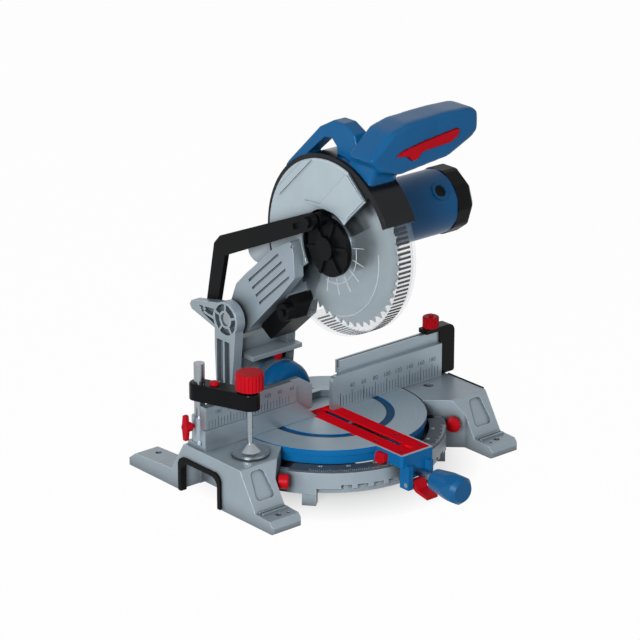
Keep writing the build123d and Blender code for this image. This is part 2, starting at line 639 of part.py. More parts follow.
def head_arm_outline():
    """Side outline of the head's arm, from the chop hinge up to the guard."""
    rear = [(148, 186), (136, 215), (114, 236), (61, 282), (26, 302)]
    return rear + [(20, 286), (18, 254), (47, 222), (112, 158)]


def head_arm():
    """Ribbed arm of the head, from the chop hinge to the guard's left face."""
    hub = rod_x(CHOP_HUB_RADIUS, HEAD_LEFT, HEAD_RIGHT, CHOP_Y, CHOP_Z)
    arm = side_prism(head_arm_outline(), HEAD_LEFT, HEAD_RIGHT, 3)
    along = degrees(atan2(282 - 236, 61 - 114))
    for i in range(4):
        y = 104 - 13 * i
        groove = Pos(HEAD_LEFT, y - 22, 196 + 12.5 * i - 0.6 * y + 62 + 22) * Rot(along, 0, 0) * Box(4, 74, 3)
        arm -= groove
    arm += hub
    arm -= rod_x(GUARD_RADIUS + GAP, GUARD_LEFT, 60, BLADE_Y, BLADE_Z)
    return arm - rod_x(CHOP_SHAFT_RADIUS + RUN, -60, 60, CHOP_Y, CHOP_Z)


def rear_deflector():
    """Black chip deflector under the head arm, with its bolt boss."""
    plate = side_prism([(116, 162), (56, 221), (42, 206), (46, 186), (90, 146)], -22, 18, 3)
    plate -= side_prism(head_arm_outline(), HEAD_LEFT, HEAD_RIGHT)
    plate -= rod_x(CHOP_HUB_RADIUS + 1, -60, 60, CHOP_Y, CHOP_Z)
    plate += rod_x(12, -34, -20, 52, 196)
    plate += rod_x(5, -37, -33, 52, 196)
    return plate - rod_x(LOWER_GUARD_RADIUS + 3, -60, 60, BLADE_Y, BLADE_Z)


def upper_guard():
    """Silver face plate on the fixed guard's left, with a raised bar and panel."""
    x0 = GUARD_LEFT
    plate = sector(FACE_RADIUS, UPPER_GUARD_START, UPPER_GUARD_END, x0, x0 + GUARD_WALL)
    plate = chamfer(plate.faces().sort_by(Axis.X)[0].edges().sort_by(SortBy.LENGTH)[-1], 1.5)
    edge = [polar(FACE_RADIUS + 6, 103), polar(FACE_RADIUS - 9, 132.3), polar(60, 129.6), (BLADE_Y, BLADE_Z)]
    front = BLADE_Y - GUARD_RADIUS - 20
    top = BLADE_Z + GUARD_RADIUS + 20
    plate -= side_prism(edge + [(front, BLADE_Z), (front, top), (edge[0][0], top)], x0 - 1, x0 + 10)
    bar = Plane.YZ.offset(x0 - 2) * Pos(*polar(FACE_RADIUS - 10, 58)) * Rot(0, 0, 136) * Rectangle(110, 7)
    raised = extrude(bar, amount=2, dir=(1, 0, 0)) & rod_x(FACE_RADIUS - 2, x0 - 5, x0, BLADE_Y, BLADE_Z)
    panel = [polar(68, 51), polar(56, 77.5), polar(FACE_RADIUS - 3, 109.5)]
    panel += [polar(FACE_RADIUS - 10, 131), polar(61, 128)]
    raised += side_prism(panel, x0 - 1.5, x0)
    return plate + raised - rod_x(50, -60, 60, BLADE_Y, BLADE_Z) - dust_bore()


def guard_rim():
    """Dark shell of the fixed guard round the blade, up to the gear case."""
    x0 = GUARD_LEFT + GUARD_WALL
    middle = GUARD_LEFT + 20
    shell = sector(GUARD_RADIUS, UPPER_GUARD_START, UPPER_GUARD_END + 8, x0, middle)
    shell += sector(GUARD_RADIUS, RIM_START, UPPER_GUARD_END + 8, middle, GUARD_RIGHT)
    shell -= rod_x(GUARD_RADIUS - GUARD_WALL, x0 + GUARD_WALL, GUARD_RIGHT - GUARD_WALL, BLADE_Y, BLADE_Z)
    shell -= rod_x(50, -60, 0, BLADE_Y, BLADE_Z)
    return shell - rod_x(GUARD_PIVOT_RADIUS, 0, 60, BLADE_Y, BLADE_Z) - dust_bore()


def gear_outline():
    """Hull of two circles round the blade's and the motor's axes."""
    big = Pos(BLADE_Y, BLADE_Z) * Circle(38)
    small = Pos(MOTOR_Y, MOTOR_Z) * Circle(MOTOR_RADIUS - 2)
    return make_hull(big.edges() + small.edges())


def gear_case():
    """Gear case on the right of the guard, with the boss that the lower guard turns on."""
    x0 = GUARD_RIGHT
    case = extrude(Plane.YZ.offset(x0) * gear_outline(), amount=MOTOR_START - x0, dir=(1, 0, 0))
    case += rod_x(GUARD_PIVOT_RADIUS, 14, x0 + 1, BLADE_Y, BLADE_Z)
    case -= rod_x(30, x0 + 6, MOTOR_START + 1, BLADE_Y, BLADE_Z)
    case -= rod_x(15, x0 + 6, MOTOR_START + 1, MOTOR_Y, MOTOR_Z)
    return case - rod_x(8 + RUN, 0, 60, BLADE_Y, BLADE_Z)


def motor_housing():
    """Blue motor tube."""
    tube = rod_x(MOTOR_RADIUS, MOTOR_START, MOTOR_END, MOTOR_Y, MOTOR_Z)
    tube -= rod_x(MOTOR_RADIUS - 5, MOTOR_START + 8, MOTOR_END + 1, MOTOR_Y, MOTOR_Z)
    places = [Pos(0, MOTOR_Y, MOTOR_Z) * Rot(angle, 0, 0) for angle in (52, 232)]
    for place in places:
        tube += place * rod_z(11, MOTOR_RADIUS - 6, MOTOR_RADIUS + 1, 164, 0)
    for place in places:
        tube -= place * rod_z(8, 30, MOTOR_RADIUS + 2, 164, 0)
    return tube - rod_x(5 + RUN, 0, 100, MOTOR_Y, MOTOR_Z)


def brush_caps():
    """Screw caps of the two motor brushes."""
    caps = []
    for angle in (52, 232):
        cap = rod_z(8, MOTOR_RADIUS - 4, MOTOR_RADIUS, 164, 0)
        cap -= box(155, 173, -1, 1, MOTOR_RADIUS - 1, MOTOR_RADIUS + 1)
        caps.append(Pos(0, MOTOR_Y, MOTOR_Z) * Rot(angle, 0, 0) * cap)
    return caps


def motor_end_cap():
    """Black faceted end cap with cooling slots in its end face."""
    face = Plane.YZ.offset(MOTOR_END) * Pos(MOTOR_Y, MOTOR_Z) * RegularPolygon(MOTOR_RADIUS + 2.5, 10)
    cap = extrude(face, amount=CAP_END - MOTOR_END, dir=(1, 0, 0))
    cap = chamfer(cap.faces().sort_by(Axis.X)[-1].edges(), 10)
    cap &= rod_x(MOTOR_RADIUS + 1.5, MOTOR_END, CAP_END, MOTOR_Y, MOTOR_Z)
    slot = box(CAP_END - 20, CAP_END + 1, -2, 2, 16, MOTOR_RADIUS - 13)
    for i in range(10):
        cap -= Pos(0, MOTOR_Y, MOTOR_Z) * Rot(36 * i, 0, 0) * slot
    cap -= rod_x(MOTOR_RADIUS - 10, MOTOR_END - 1, CAP_END - 8, MOTOR_Y, MOTOR_Z)
    cap += rod_x(9, CAP_END - 24, CAP_END - 7, MOTOR_Y, MOTOR_Z)
    return cap - rod_x(5 + RUN, 0, CAP_END - 12, MOTOR_Y, MOTOR_Z)


def toothed_disc(teeth, module, x0, x1, y, z, start):
    """Spur gear with straight-sided teeth, one of them pointing at the start angle."""
    root = module * teeth / 2 - 1.15 * module
    tip = module * teeth / 2 + 0.8 * module
    pitch = 360 / teeth
    points = []
    for i in range(teeth):
        for radius, share in ((root, -0.24), (tip, -0.09), (tip, 0.09), (root, 0.24)):
            angle = radians(start + pitch * (i + share))
            points.append((y + radius * cos(angle), z + radius * sin(angle)))
    return side_prism(points, x0, x1)


def gear_module():
    """Module that puts the two gears in mesh at their centre distance."""
    return 2 * hypot(MOTOR_Y - BLADE_Y, MOTOR_Z - BLADE_Z) / (GEAR_TEETH + PINION_TEETH)


def drive_spindle():
    """Blade spindle with its gear."""
    towards = degrees(atan2(MOTOR_Z - BLADE_Z, MOTOR_Y - BLADE_Y))
    x0 = GUARD_RIGHT + 8
    gear = toothed_disc(GEAR_TEETH, gear_module(), x0, x0 + 9, BLADE_Y, BLADE_Z, towards)
    shaft = rod_x(8, BLADE_THICKNESS / 2 + 7, x0 + 9, BLADE_Y, BLADE_Z)
    return gear + shaft + rod_x(6, -5, BLADE_THICKNESS / 2 + 8, BLADE_Y, BLADE_Z)


def armature():
    """Motor rotor: shaft, pinion, winding core, commutator and fan."""
    towards = degrees(atan2(BLADE_Z - MOTOR_Z, BLADE_Y - MOTOR_Y)) + 180 / PINION_TEETH
    x0 = GUARD_RIGHT + 8
    rotor = toothed_disc(PINION_TEETH, gear_module(), x0, x0 + 9, MOTOR_Y, MOTOR_Z, towards)
    rotor += rod_x(5, x0, CAP_END - 14, MOTOR_Y, MOTOR_Z)
    rotor += rod_x(27, 76, 146, MOTOR_Y, MOTOR_Z)
    rotor += rod_x(14, 150, 178, MOTOR_Y, MOTOR_Z)
    rotor += rod_x(12, 58, 64, MOTOR_Y, MOTOR_Z)
    blade = box(56, 66, -1, 1, 10, MOTOR_RADIUS - 9)
    for i in range(10):
        rotor += Pos(0, MOTOR_Y, MOTOR_Z) * Rot(36 * i, 0, 0) * blade
    return rotor


def saw_blade():
    """Circular blade with hooked teeth."""
    points = []
    pitch = 360 / TEETH
    for i in range(TEETH):
        for depth, share in ((7, 0.0), (4, 0.45), (0, 0.72), (7, 0.9)):
            points.append(polar(BLADE_RADIUS - depth, -pitch * (i + share)))
    blade = side_prism(points, -BLADE_THICKNESS / 2, BLADE_THICKNESS / 2)
    return blade - rod_x(6 + 0.02, -5, 5, BLADE_Y, BLADE_Z)


def blade_flanges():
    """Clamping flanges on both sides of the blade."""
    half = BLADE_THICKNESS / 2
    outer = rod_x(21, -half - 4, -half, BLADE_Y, BLADE_Z)
    inner = rod_x(21, half, half + 6, BLADE_Y, BLADE_Z)
    bore = rod_x(6 + 0.02, -40, 40, BLADE_Y, BLADE_Z)
    return [outer - bore, inner - bore]


def arbor_bolt():
    """Hexagon bolt at the end of the blade spindle."""
    x1 = -BLADE_THICKNESS / 2 - 4
    hexagon = Pos(BLADE_Y, BLADE_Z) * RegularPolygon(9, 6)
    return extrude(Plane.YZ.offset(x1 - 6) * hexagon, amount=6, dir=(1, 0, 0))


def lower_guard():
    """Clear swinging guard: slotted rim between two side walls."""
    w = LOWER_GUARD_HALF_WIDTH
    t = LOWER_GUARD_WALL
    shell = sector(LOWER_GUARD_RADIUS, LOWER_GUARD_START, LOWER_GUARD_END, -w, w)
    shell -= rod_x(LOWER_GUARD_RADIUS - t, -w + t, w - t, BLADE_Y, BLADE_Z)
    shell += rod_x(40, -w, -w + t, BLADE_Y, BLADE_Z)
    shell += rod_x(36, w - t, w, BLADE_Y, BLADE_Z)
    shell -= rod_x(GUARD_PIVOT_RADIUS + RUN, 0, 60, BLADE_Y, BLADE_Z)
    shell -= rod_x(24, -60, 0, BLADE_Y, BLADE_Z)
    slot = box(-w + 7, w - 7, LOWER_GUARD_RADIUS - 6, LOWER_GUARD_RADIUS + 3, -1.8, 1.8)
    count = 22
    step = (LOWER_GUARD_END - LOWER_GUARD_START - 10) / count
    for i in range(count):
        angle = LOWER_GUARD_START + 8 + step * i
        shell -= Pos(0, BLADE_Y, BLADE_Z) * Rot(angle, 0, 0) * slot
    return shell


def guard_hub():
    """Black hub cover of the lower guard with the crank that the link drives."""
    x0 = HEAD_LEFT + 4
    x1 = -LOWER_GUARD_HALF_WIDTH
    hub = rod_x(38, -26, x1, BLADE_Y, BLADE_Z)
    for i in range(6):
        hub += Pos(0, BLADE_Y, BLADE_Z) * Rot(60 * i + 20, 0, 0) * box(-29, x1, -2, 2, 10, 38)
    hub += rod_x(15, -33, x1, BLADE_Y, BLADE_Z)
    hub += rod_x(9, x0, x1, CRANK_Y, CRANK_Z)
    hub -= rod_x(11, -24, 0, BLADE_Y, BLADE_Z)
    return hub


def guard_link():
    """Cranked link that opens the lower guard as the head comes down."""
    x1 = HEAD_LEFT - 1.5
    x0 = EAR_LEFT + EAR_THICKNESS + 1
    half = 11
    bend = (159, 256)
    upper = degrees(atan2(CRANK_Z - bend[1], CRANK_Y - bend[0]))
    ny = -sin(radians(upper))
    nz = cos(radians(upper))
    points = [
        (LINK_PIVOT_Y + half, LINK_PIVOT_Z),
        (bend[0] + half, bend[1] + 8),
        (bend[0] + half - 12, bend[1] + 21),
        (CRANK_Y - half * ny, CRANK_Z - half * nz),
        (CRANK_Y + half * ny, CRANK_Z + half * nz),
        (bend[0] - half, bend[1] - 4),
        (LINK_PIVOT_Y - half, LINK_PIVOT_Z),
    ]
    bar = side_prism(points, x0, x1)
    bar += rod_x(half, x0, x1, CRANK_Y, CRANK_Z) + rod_x(half, x0, x1, LINK_PIVOT_Y, LINK_PIVOT_Z)
    bar -= rod_x(LINK_PIN_RADIUS + RUN, -80, 0, LINK_PIVOT_Y, LINK_PIVOT_Z)
    slot = Pos(0, CRANK_Y, CRANK_Z) * Rot(upper, 0, 0)
    bar -= slot * box(x0 - 1, x0 + 3, -32, -9, -4, 4)
    return bar - rod_x(3, -80, 0, CRANK_Y, CRANK_Z)


def link_bolt():
    """Bolt at the front end of the guard link."""
    x0 = EAR_LEFT + EAR_THICKNESS + 1
    hexagon = Pos(CRANK_Y, CRANK_Z) * RegularPolygon(7, 6)
    head = extrude(Plane.YZ.offset(x0 - 5) * hexagon, amount=5, dir=(1, 0, 0))
    return head + rod_x(3, x0, HEAD_LEFT - 1.5, CRANK_Y, CRANK_Z)


def handle_frame():
    """Frame of the main handle: its X runs along the grip, which rises to the right."""
    return Pos(0, HANDLE_Y, HANDLE_Z) * Rot(0, -HANDLE_RISE, 0)


def main_handle():
    """Blue grip of the head with the trigger's slot, and its neck on the guard."""
    tip = HANDLE_LENGTH
    under = [(-30, -35), (tip - 60, -27), (tip - 12, -12), (tip, -6)]
    over = [(tip, 20), (tip - 10, 27), (tip - 60, 32), (-30, 31)]
    grip = front_prism(under + over, -HANDLE_DEPTH / 2, HANDLE_DEPTH / 2, HANDLE_EDGE + 2)
    grip = fillet(grip.faces().filter_by(Axis.Y).edges(), HANDLE_EDGE)
    grip = handle_frame() * grip
    neck = loft(
        [
            Pos(2, -64, 394) * RectangleRounded(46, 66, 12),
            Pos(2, -84, 430) * RectangleRounded(50, 46, 14),
        ]
    )
    handle = grip + neck
    handle -= rod_x(GUARD_RADIUS, -60, 60, BLADE_Y, BLADE_Z)
    handle -= handle_frame() * box(30 - GAP, 132 + GAP, -40, -8, -12 - GAP, 2 + GAP)
    handle -= handle_frame() * box(44 - GAP, 58 + GAP, -40, -8, -17 - GAP, -10)
    return handle


def trigger():
    """Red trigger bar in the grip's front."""
    bar = box(30, 132, -24.5, -13, -12, 2)
    bar = fillet(bar.edges().filter_by(Axis.X).group_by(Axis.Y)[0], 3)
    bar += box(44, 58, -27, -16, -17, -10)
    bar += box(34, 126, -14, -12.6, -8, -2)
    return handle_frame() * bar


def carry_handle():
    """Blue carrying bow over the guard."""
    rear = [(84, 372), (66, 394), (6, 452), (-20, 466)]
    front = [(-40, 466), (-60, 456), (-66, 440), (-66, 400), (20, 400)]
    bow = side_prism(rear + front, -11, 11, 5)
    bow = fillet(bow.faces().filter_by(Axis.X).edges(), 2.5)
    bow -= side_prism([(34, 408), (-4, 441), (-18, 443), (-28, 434), (-30, 410)], -20, 20, 3)
    bow -= rod_x(GUARD_RADIUS, -60, 60, BLADE_Y, BLADE_Z)
    bow -= main_handle()
    return bow


def dust_plane():
    """Plane across the dust outlet, its normal pointing out of the guard."""
    along = (0, sin(SPOUT_TURN), -cos(SPOUT_TURN))
    return Plane(origin=(SPOUT_X, SPOUT_Y, SPOUT_Z), x_dir=(1, 0, 0), z_dir=along)


def dust_bore():
    """Round passage of the dust outlet."""
    return extrude(dust_plane() * Circle(SPOUT_RADIUS - GUARD_WALL), amount=SPOUT_LENGTH + 5)


def dust_spout():
    """Round dust outlet behind the guard."""
    tube = extrude(dust_plane() * Circle(SPOUT_RADIUS), amount=SPOUT_LENGTH) - dust_bore()
    return tube - rod_x(GUARD_RADIUS, -60, 60, BLADE_Y, BLADE_Z)


os.makedirs("parts", exist_ok=True)
right_trim = grip_trim()
nodes = {
    "base_casting": base_casting(),
    "left_base_leg": left_base_leg(),
    "right_base_leg": right_base_leg(),
    "mitre_scale_ring": mitre_scale_ring(),
    "right_grip_trim": Compound(children=[right_trim, edge_strip()]),
    "left_grip_trim": mirror(right_trim, about=Plane.YZ),
    "pivot_bolt": pivot_bolt(),
    "left_lock_knob": lock_knob(-1),
    "right_lock_knob": lock_knob(1),
    "fence_casting": fence_casting(),
    "fence_screws": Compound(children=fence_screws()),
    "left_sliding_fence": left_sliding_fence(),
    "fence_rail": fence_rail(),
    "stop_bracket": stop_bracket(),
    "rail_lock_knob": rail_lock_knob(),
    "clamp_post": rod_z(POST_RADIUS, TABLE_TOP - 24, POST_TOP, CLAMP_X, CLAMP_Y),
    "clamp_arm": clamp_arm(),
    "clamp_arm_screw": clamp_arm_screw(),
    "clamp_spindle": clamp_spindle(),
    "clamp_knob": clamp_knob(),
    "clamp_wing_screw": clamp_wing_screw(),
    "turntable": turntable(),
    "table_insert": table_insert(),
    "insert_screws": Compound(children=insert_screws()),
    "mitre_pointer": mitre_pointer(),
    "detent_lever": detent_lever(),
    "lever_pin": rod_x(3, -21, 21, ARM_FRONT - 1, 26),
    "mitre_lock_rod": mitre_lock_rod(),
    "mitre_lock_knob": mitre_lock_knob(),
    "bevel_scale": bevel_scale(),
    "bevel_shaft": rod_y(BEVEL_SHAFT_RADIUS, BEVEL_FRONT + 12, BEVEL_REAR + 45, 0, TABLE_TOP),
    "bevel_lock_lever": bevel_lock_lever(),
    "tilt_column": tilt_column(),
    "bevel_pointer": bevel_pointer(),
    "chop_shaft": rod_x(CHOP_SHAFT_RADIUS, EAR_LEFT + 2, EAR_RIGHT + EAR_THICKNESS, CHOP_Y, CHOP_Z),
    "link_pin": rod_x(LINK_PIN_RADIUS, EAR_LEFT + 2, HEAD_LEFT - 1, LINK_PIVOT_Y, LINK_PIVOT_Z),
    "head_arm": head_arm(),
    "rear_deflector": rear_deflector(),
    "upper_guard": upper_guard(),
    "guard_rim": guard_rim(),
    "gear_case": gear_case(),
    "motor_housing": motor_housing(),
    "brush_caps": Compound(children=brush_caps()),
    "motor_end_cap": motor_end_cap(),
    "armature": armature(),
    "drive_spindle": drive_spindle(),
    "saw_blade": saw_blade(),
    "blade_flanges": Compound(children=blade_flanges()),
    "arbor_bolt": arbor_bolt(),
    "lower_guard": lower_guard(),
    "guard_hub": guard_hub(),
    "guard_link": guard_link(),
    "link_bolt": link_bolt(),
    "main_handle": main_handle(),
    "trigger": trigger(),
    "carry_handle": carry_handle(),
    "dust_spout": dust_spout(),
}
for name, solid in nodes.items():
    export_step(solid, f"parts/{name}.step")
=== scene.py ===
import json
from math import cos, radians, sin, tau

import bmesh
import bpy
from bpy.props import FloatProperty, FloatVectorProperty, PointerProperty
from mathutils import Matrix, Vector


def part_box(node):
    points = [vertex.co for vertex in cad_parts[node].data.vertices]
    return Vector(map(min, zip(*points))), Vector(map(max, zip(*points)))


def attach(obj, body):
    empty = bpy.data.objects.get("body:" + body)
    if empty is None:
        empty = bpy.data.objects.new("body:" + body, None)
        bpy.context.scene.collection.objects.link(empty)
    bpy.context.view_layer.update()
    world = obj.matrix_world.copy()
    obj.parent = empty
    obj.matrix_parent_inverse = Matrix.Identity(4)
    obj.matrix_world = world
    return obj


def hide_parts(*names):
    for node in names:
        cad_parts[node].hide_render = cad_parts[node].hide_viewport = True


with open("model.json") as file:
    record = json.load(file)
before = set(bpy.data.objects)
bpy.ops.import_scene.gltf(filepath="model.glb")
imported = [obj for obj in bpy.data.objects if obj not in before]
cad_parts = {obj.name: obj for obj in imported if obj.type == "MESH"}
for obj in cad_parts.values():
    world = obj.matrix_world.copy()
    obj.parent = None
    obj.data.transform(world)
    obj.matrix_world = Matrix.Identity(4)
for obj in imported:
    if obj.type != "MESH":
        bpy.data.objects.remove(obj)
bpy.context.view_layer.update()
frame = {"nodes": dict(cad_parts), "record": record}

bl_info = {
    "name": "Mitre saw finishes",
    "version": (1, 0, 0),
    "blender": (4, 5, 0),
    "location": "3D View > Sidebar > Mitre saw",
    "description": "Finishes, scales and small fittings of a bench-top mitre saw",
    "category": "Object",
}

MM = 0.001
JOINTS = {joint["name"]: joint for joint in frame["record"]["behaviour"]["joints"]}
BLADE_AXIS = Vector(JOINTS["blade_spin"]["pos_m"])
MOTOR_AXIS = Vector(JOINTS["rotor_spin"]["pos_m"])
TRIGGER_TRAVEL = JOINTS["trigger_pull"]["range_m"][1]
SHELL_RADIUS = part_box("guard_rim")[1].z - BLADE_AXIS.z
GUARD_RADIUS = BLADE_AXIS.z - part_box("lower_guard")[0].z
TABLE_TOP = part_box("table_insert")[1].z

# Scales: how far the print stands off its face, the figures' thickness and places, the angles that the lines cover
# in degrees, and the lines as a length in millimetres and the degrees from one to the next
PRINT_LIFT = 0.02 * MM
FIGURE_DEPTH = 0.06 * MM
FIGURE_GAP = 3 * MM
FIGURE_STEP = 20
FENCE_LONG_EVERY = 4
MITRE_RING_HALF = 60
MITRE_LINES_HALF = 50
MITRE_LINES = ((3.5, 1), (6.0, 5))
MITRE_LINE_WIDTH_SHARE = 0.6
MITRE_MARGIN = 1.0 * MM
MITRE_FIGURES = (45, 30, 15, 0, -15, -30, -45)
MITRE_FIGURE_INSET = 15 * MM
BEVEL_LINES_HALF = 60
BEVEL_LINES = ((3.0, 2.5), (6.0, 15))
BEVEL_LINE_WIDTH = 0.5 * MM
BEVEL_LINE_DROP = 4.5 * MM

# Clear guard: ribs and arcs round the blade's axis, in millimetres and degrees
RIB_COUNT, RIB_INNER, RIB_OUTER = 6, 41, 62
RIB_START, RIB_TURN = -78, -22
ARCS = ((47, 168, 282), (89, 172, 262))
ARC_STEP = 3
SLOT_COUNT, SLOT_START, SLOT_TURN = 44, -66, -3.09
SLOT_DEPTH = 0.4 * MM

# Handle: its frame, the grip's and the trigger's outlines along it in millimetres, and the neck's two ends in metres
HANDLE_RISE = radians(3)
HANDLE_HEIGHT = 0.4415
HANDLE_HALF_DEPTH = 23 * MM
GRIP_SIDE = (
    (-29, -3), (-13, -22), (20, -33), (100, -29), (142, -13), (151, -5), (152, 18), (143, 26), (100, 30),
    (34, 31), (8, 26), (-15, 8),
)
GRIP_VOXEL = 1.8 * MM
GRIP_SMOOTHING = 50
NECK_FOOT, NECK_FOOT_SIZE = (0.002, -0.064, 0.392), (0.046, 0.066)
NECK_TOP, NECK_TOP_SIZE = (0.006, -0.086, 0.432), (0.046, 0.044)
TRIGGER_SIDE = [
    Vector(corner)
    for corner in (
        (12, -6), (30, -10), (37, -17), (45, -17), (53, -10), (64, -9), (100, -9), (111, -5), (117, 3), (112, 5),
        (60, 2), (24, -2),
    )
]
TRIGGER_FRONT = -25 * MM
TRIGGER_REAR = -14 * MM
TRIGGER_SLOT_FRONT = -40 * MM
TRIGGER_SLOT_REAR = TRIGGER_TRAVEL - 13 * MM
TRIGGER_CLEARANCE = 1

# Motor: place and rings of the brush caps, as radius, depth and rise in millimetres
MOTOR_RADIUS = 43 * MM
BRUSH_X = 164 * MM
BRUSH_ANGLES = (52, 232)
BRUSH_RING = (12.5, 4, 2)
BRUSH_BORE = (9, 6, 4)
BRUSH_SIDES = 48

# Head arm: outline of its left face and its grooves, in Y and Z, in millimetres
ARM_FACE = (
    (146, 187), (135, 213.5), (113, 234.5), (60.5, 280), (28, 298.5), (22, 285.5), (20, 255), (48.5, 223.5),
    (112.5, 160.5),
)
ARM_SKIN = 2.5 * MM
ARM_PROUD = 0.01 * MM
GROOVE_ALONG = Vector((-0.755, 0.656))
GROOVE_ACROSS = Vector((0.656, 0.755))
GROOVE_EDGE = Vector((87, 259))
GROOVE_COUNT, GROOVE_FIRST, GROOVE_PITCH = 4, 10, 11
GROOVE_HALF_LENGTH, GROOVE_HALF_WIDTH = 40, 1.8
GROOVE_DEPTH = 3 * MM

# Guard shell: the opening in its left wall, round the blade's axis
OPENING_START, OPENING_STEP, OPENING_CORNERS = 130.5, 4, 8
OPENING_DEPTH = 3.5 * MM
SHELL_EDGE = 8 * MM

# How far a cutting form stands out of the face that it cuts
CUT_OVER = 1 * MM
# Size of the clear guard's scratches along X, Y and Z in millimetres
SCRATCHES = (10 / 3, 100 / 9, 10 / 7)
# Rings that a wave pattern has to the metre at scale 1
WAVE_RINGS = 20 / tau
CORNERS = ((-1, -1), (1, -1), (1, 1), (-1, 1))


def linear(code):
    """Linear colour of an sRGB hex value."""
    channels = [int(code[i:i + 2], 16) / 255 for i in (0, 2, 4)]
    return tuple(c / 12.92 if c <= 0.04045 else ((c + 0.055) / 1.055) ** 2.4 for c in channels)


def colour(name, description, code):
    """Colour property with its default from an sRGB hex value."""
    return FloatVectorProperty(
        name=name, description=description, subtype="COLOR", size=3, min=0, max=1, default=linear(code)
    )


def length(name, description, millimetres):
    """Length property with its default in millimetres."""
    return FloatProperty(
        name=name, description=description, default=millimetres * MM, subtype="DISTANCE", unit="LENGTH", precision=5
    )


def power(name, description, watts):
    """Power property of a lamp."""
    return FloatProperty(name=name, description=description, default=watts, subtype="POWER", unit="POWER")


class SawColours(bpy.types.PropertyGroup):
    """Colours of the saw's finishes."""

    cast: colour("Cast aluminium", "Silver lacquer on the castings", "8b98a1")
    guard: colour("Guard lacquer", "Silver lacquer of the fixed guard", "a7b5bd")
    machined: colour("Machined aluminium", "Milled and anodised fences", "98a5ae")
    table: colour("Table top", "Milled face of the turntable", "9baab4")
    blue: colour("Blue", "Blue of the mouldings", "0b5384")
    blue_paint: colour("Blue paint", "Blue of the turntable", "0d5c92")
    red: colour("Red", "Red of knobs and trigger", "ad0e1b")
    # Painted light: the insert's red is set brighter than the knobs' red, to make up for the light that its flat top
    # gets less of.
    insert: colour("Insert", "Red of the table insert", "d81120")
    black: colour("Black", "Black of the mouldings", "08090b")
    rim: colour("Guard rim", "Smoky dark grey of the guard's shell", "0d1114")
    rubber: colour("Rubber", "Black of the rubber edges", "060708")
    graphite: colour("Graphite", "Dark grey of the mitre scale", "3c454d")
    steel: colour("Steel", "Bright steel of pins and screws", "9aa1a6")
    blade: colour("Blade steel", "Ground steel of the blade", "aab7be")
    clear: colour("Clear", "Tint of the clear guard", "9aa7ae")
    # Painted highlight: the ribs are tinted light, so that they read as lines of light on the clear guard.
    rib: colour("Guard ribs", "Light edges of the clear guard's ribs", "cfd8dd")
    outlet: colour("Outlet grey", "Light grey of the dust outlet", "9aa4aa")
    copper: colour("Copper", "Winding of the rotor", "9b5a33")
    print_dark: colour("Engraving", "Dark filled engraving of the fences", "39424a")
    print_light: colour("Printing", "Pale printing of the mitre scale", "d7dde1")


class SawSizes(bpy.types.PropertyGroup):
    """Sizes of the saw's scales and small fittings."""

    tick_width: length("Tick width", "Width of a scale's line", 0.8)
    tick_depth: length("Tick depth", "Thickness of a scale's line", 0.12)
    fence_short: length("Short fence tick", "Length of the fence's short lines", 14.0)
    fence_long: length("Long fence tick", "Length of the fence's long lines", 19.0)
    fence_step: length("Fence step", "Distance between two lines of the fence", 5.0)
    figure_height: length("Figure height", "Height of the fence's figures", 8.5)
    ring_figure_height: length("Ring figure height", "Height of the mitre scale's figures", 6.0)
    rib_width: length("Rib width", "Width of the clear guard's ribs", 1.0)
    rib_height: length("Rib height", "Height of the clear guard's ribs", 0.8)
    slot_width: length("Slot width", "Width of the dark bars in the clear guard's rim", 3.3)
    slot_margin: length("Slot margin", "Clear edge beside the dark bars", 9.0)
    clear_cover: FloatProperty(
        name="Clear cover", description="Share of light that the clear guard stops", default=0.1, subtype="FACTOR"
    )
    edge_round: length("Edge rounding", "Rounding that catches light on edges", 0.7)


class SawStage(bpy.types.PropertyGroup):
    """Floor, light and camera."""

    floor: colour("Floor", "Pale floor", "b4b6b8")
    lens: FloatProperty(
        name="Lens",
        description="Focal length of the camera in millimetres",
        default=174.85,
        subtype="DISTANCE_CAMERA",
        unit="CAMERA",
    )
    world: FloatProperty(name="Surrounding light", description="Strength of the light from all sides", default=0.28)
    key: power("Key light", "Power of the key lamp", 140.0)
    fill: power("Fill light", "Power of the fill lamp", 8.0)
    top: power("Top light", "Power of the lamp overhead", 8.0)


def add_node(tree, kind, inputs=None, **settings):
    """Adds a node with its settings, and its inputs as values, colours or links from other sockets."""
    node = tree.nodes.new(kind)
    for key, value in settings.items():
        setattr(node, key, value)
    for key, value in (inputs or {}).items():
        socket = node.inputs[key]
        if isinstance(value, bpy.types.NodeSocket):
            tree.links.new(value, socket)
        elif socket.type == "RGBA":
            socket.default_value = (*value, 1.0)
        else:
            socket.default_value = value
    return node


def new_material(name):
    """Empty material with its shader, its output and the coordinates of its patterns."""
    material = bpy.data.materials.new(name)
    material.use_nodes = True
    tree = material.node_tree
    tree.nodes.clear()
    shader = add_node(tree, "ShaderNodeBsdfPrincipled")
    add_node(tree, "ShaderNodeOutputMaterial", {"Surface": shader.outputs["BSDF"]})
    place = add_node(tree, "ShaderNodeTexCoord").outputs["Object"]
    return material, tree, shader, place


def per_metre(millimetres):
    """Scale of a pattern whose features have a size in millimetres."""
    return 1000 / millimetres


def shade(value, factor):
    """Colour made darker or lighter by a factor."""
    return tuple(min(1.0, c * factor) for c in value)


def clouded(tree, place, millimetres, value, dark, light):
    """Colour with soft clouds of a size, from a darker to a lighter shade of it."""
    cloud = add_node(tree, "ShaderNodeTexNoise", {"Vector": place, "Scale": per_metre(millimetres), "Detail": 3.0})
    return add_node(
        tree,
        "ShaderNodeMix",
        {0: cloud.outputs["Fac"], 6: shade(value, dark), 7: shade(value, light)},
        data_type="RGBA",
    ).outputs[2]


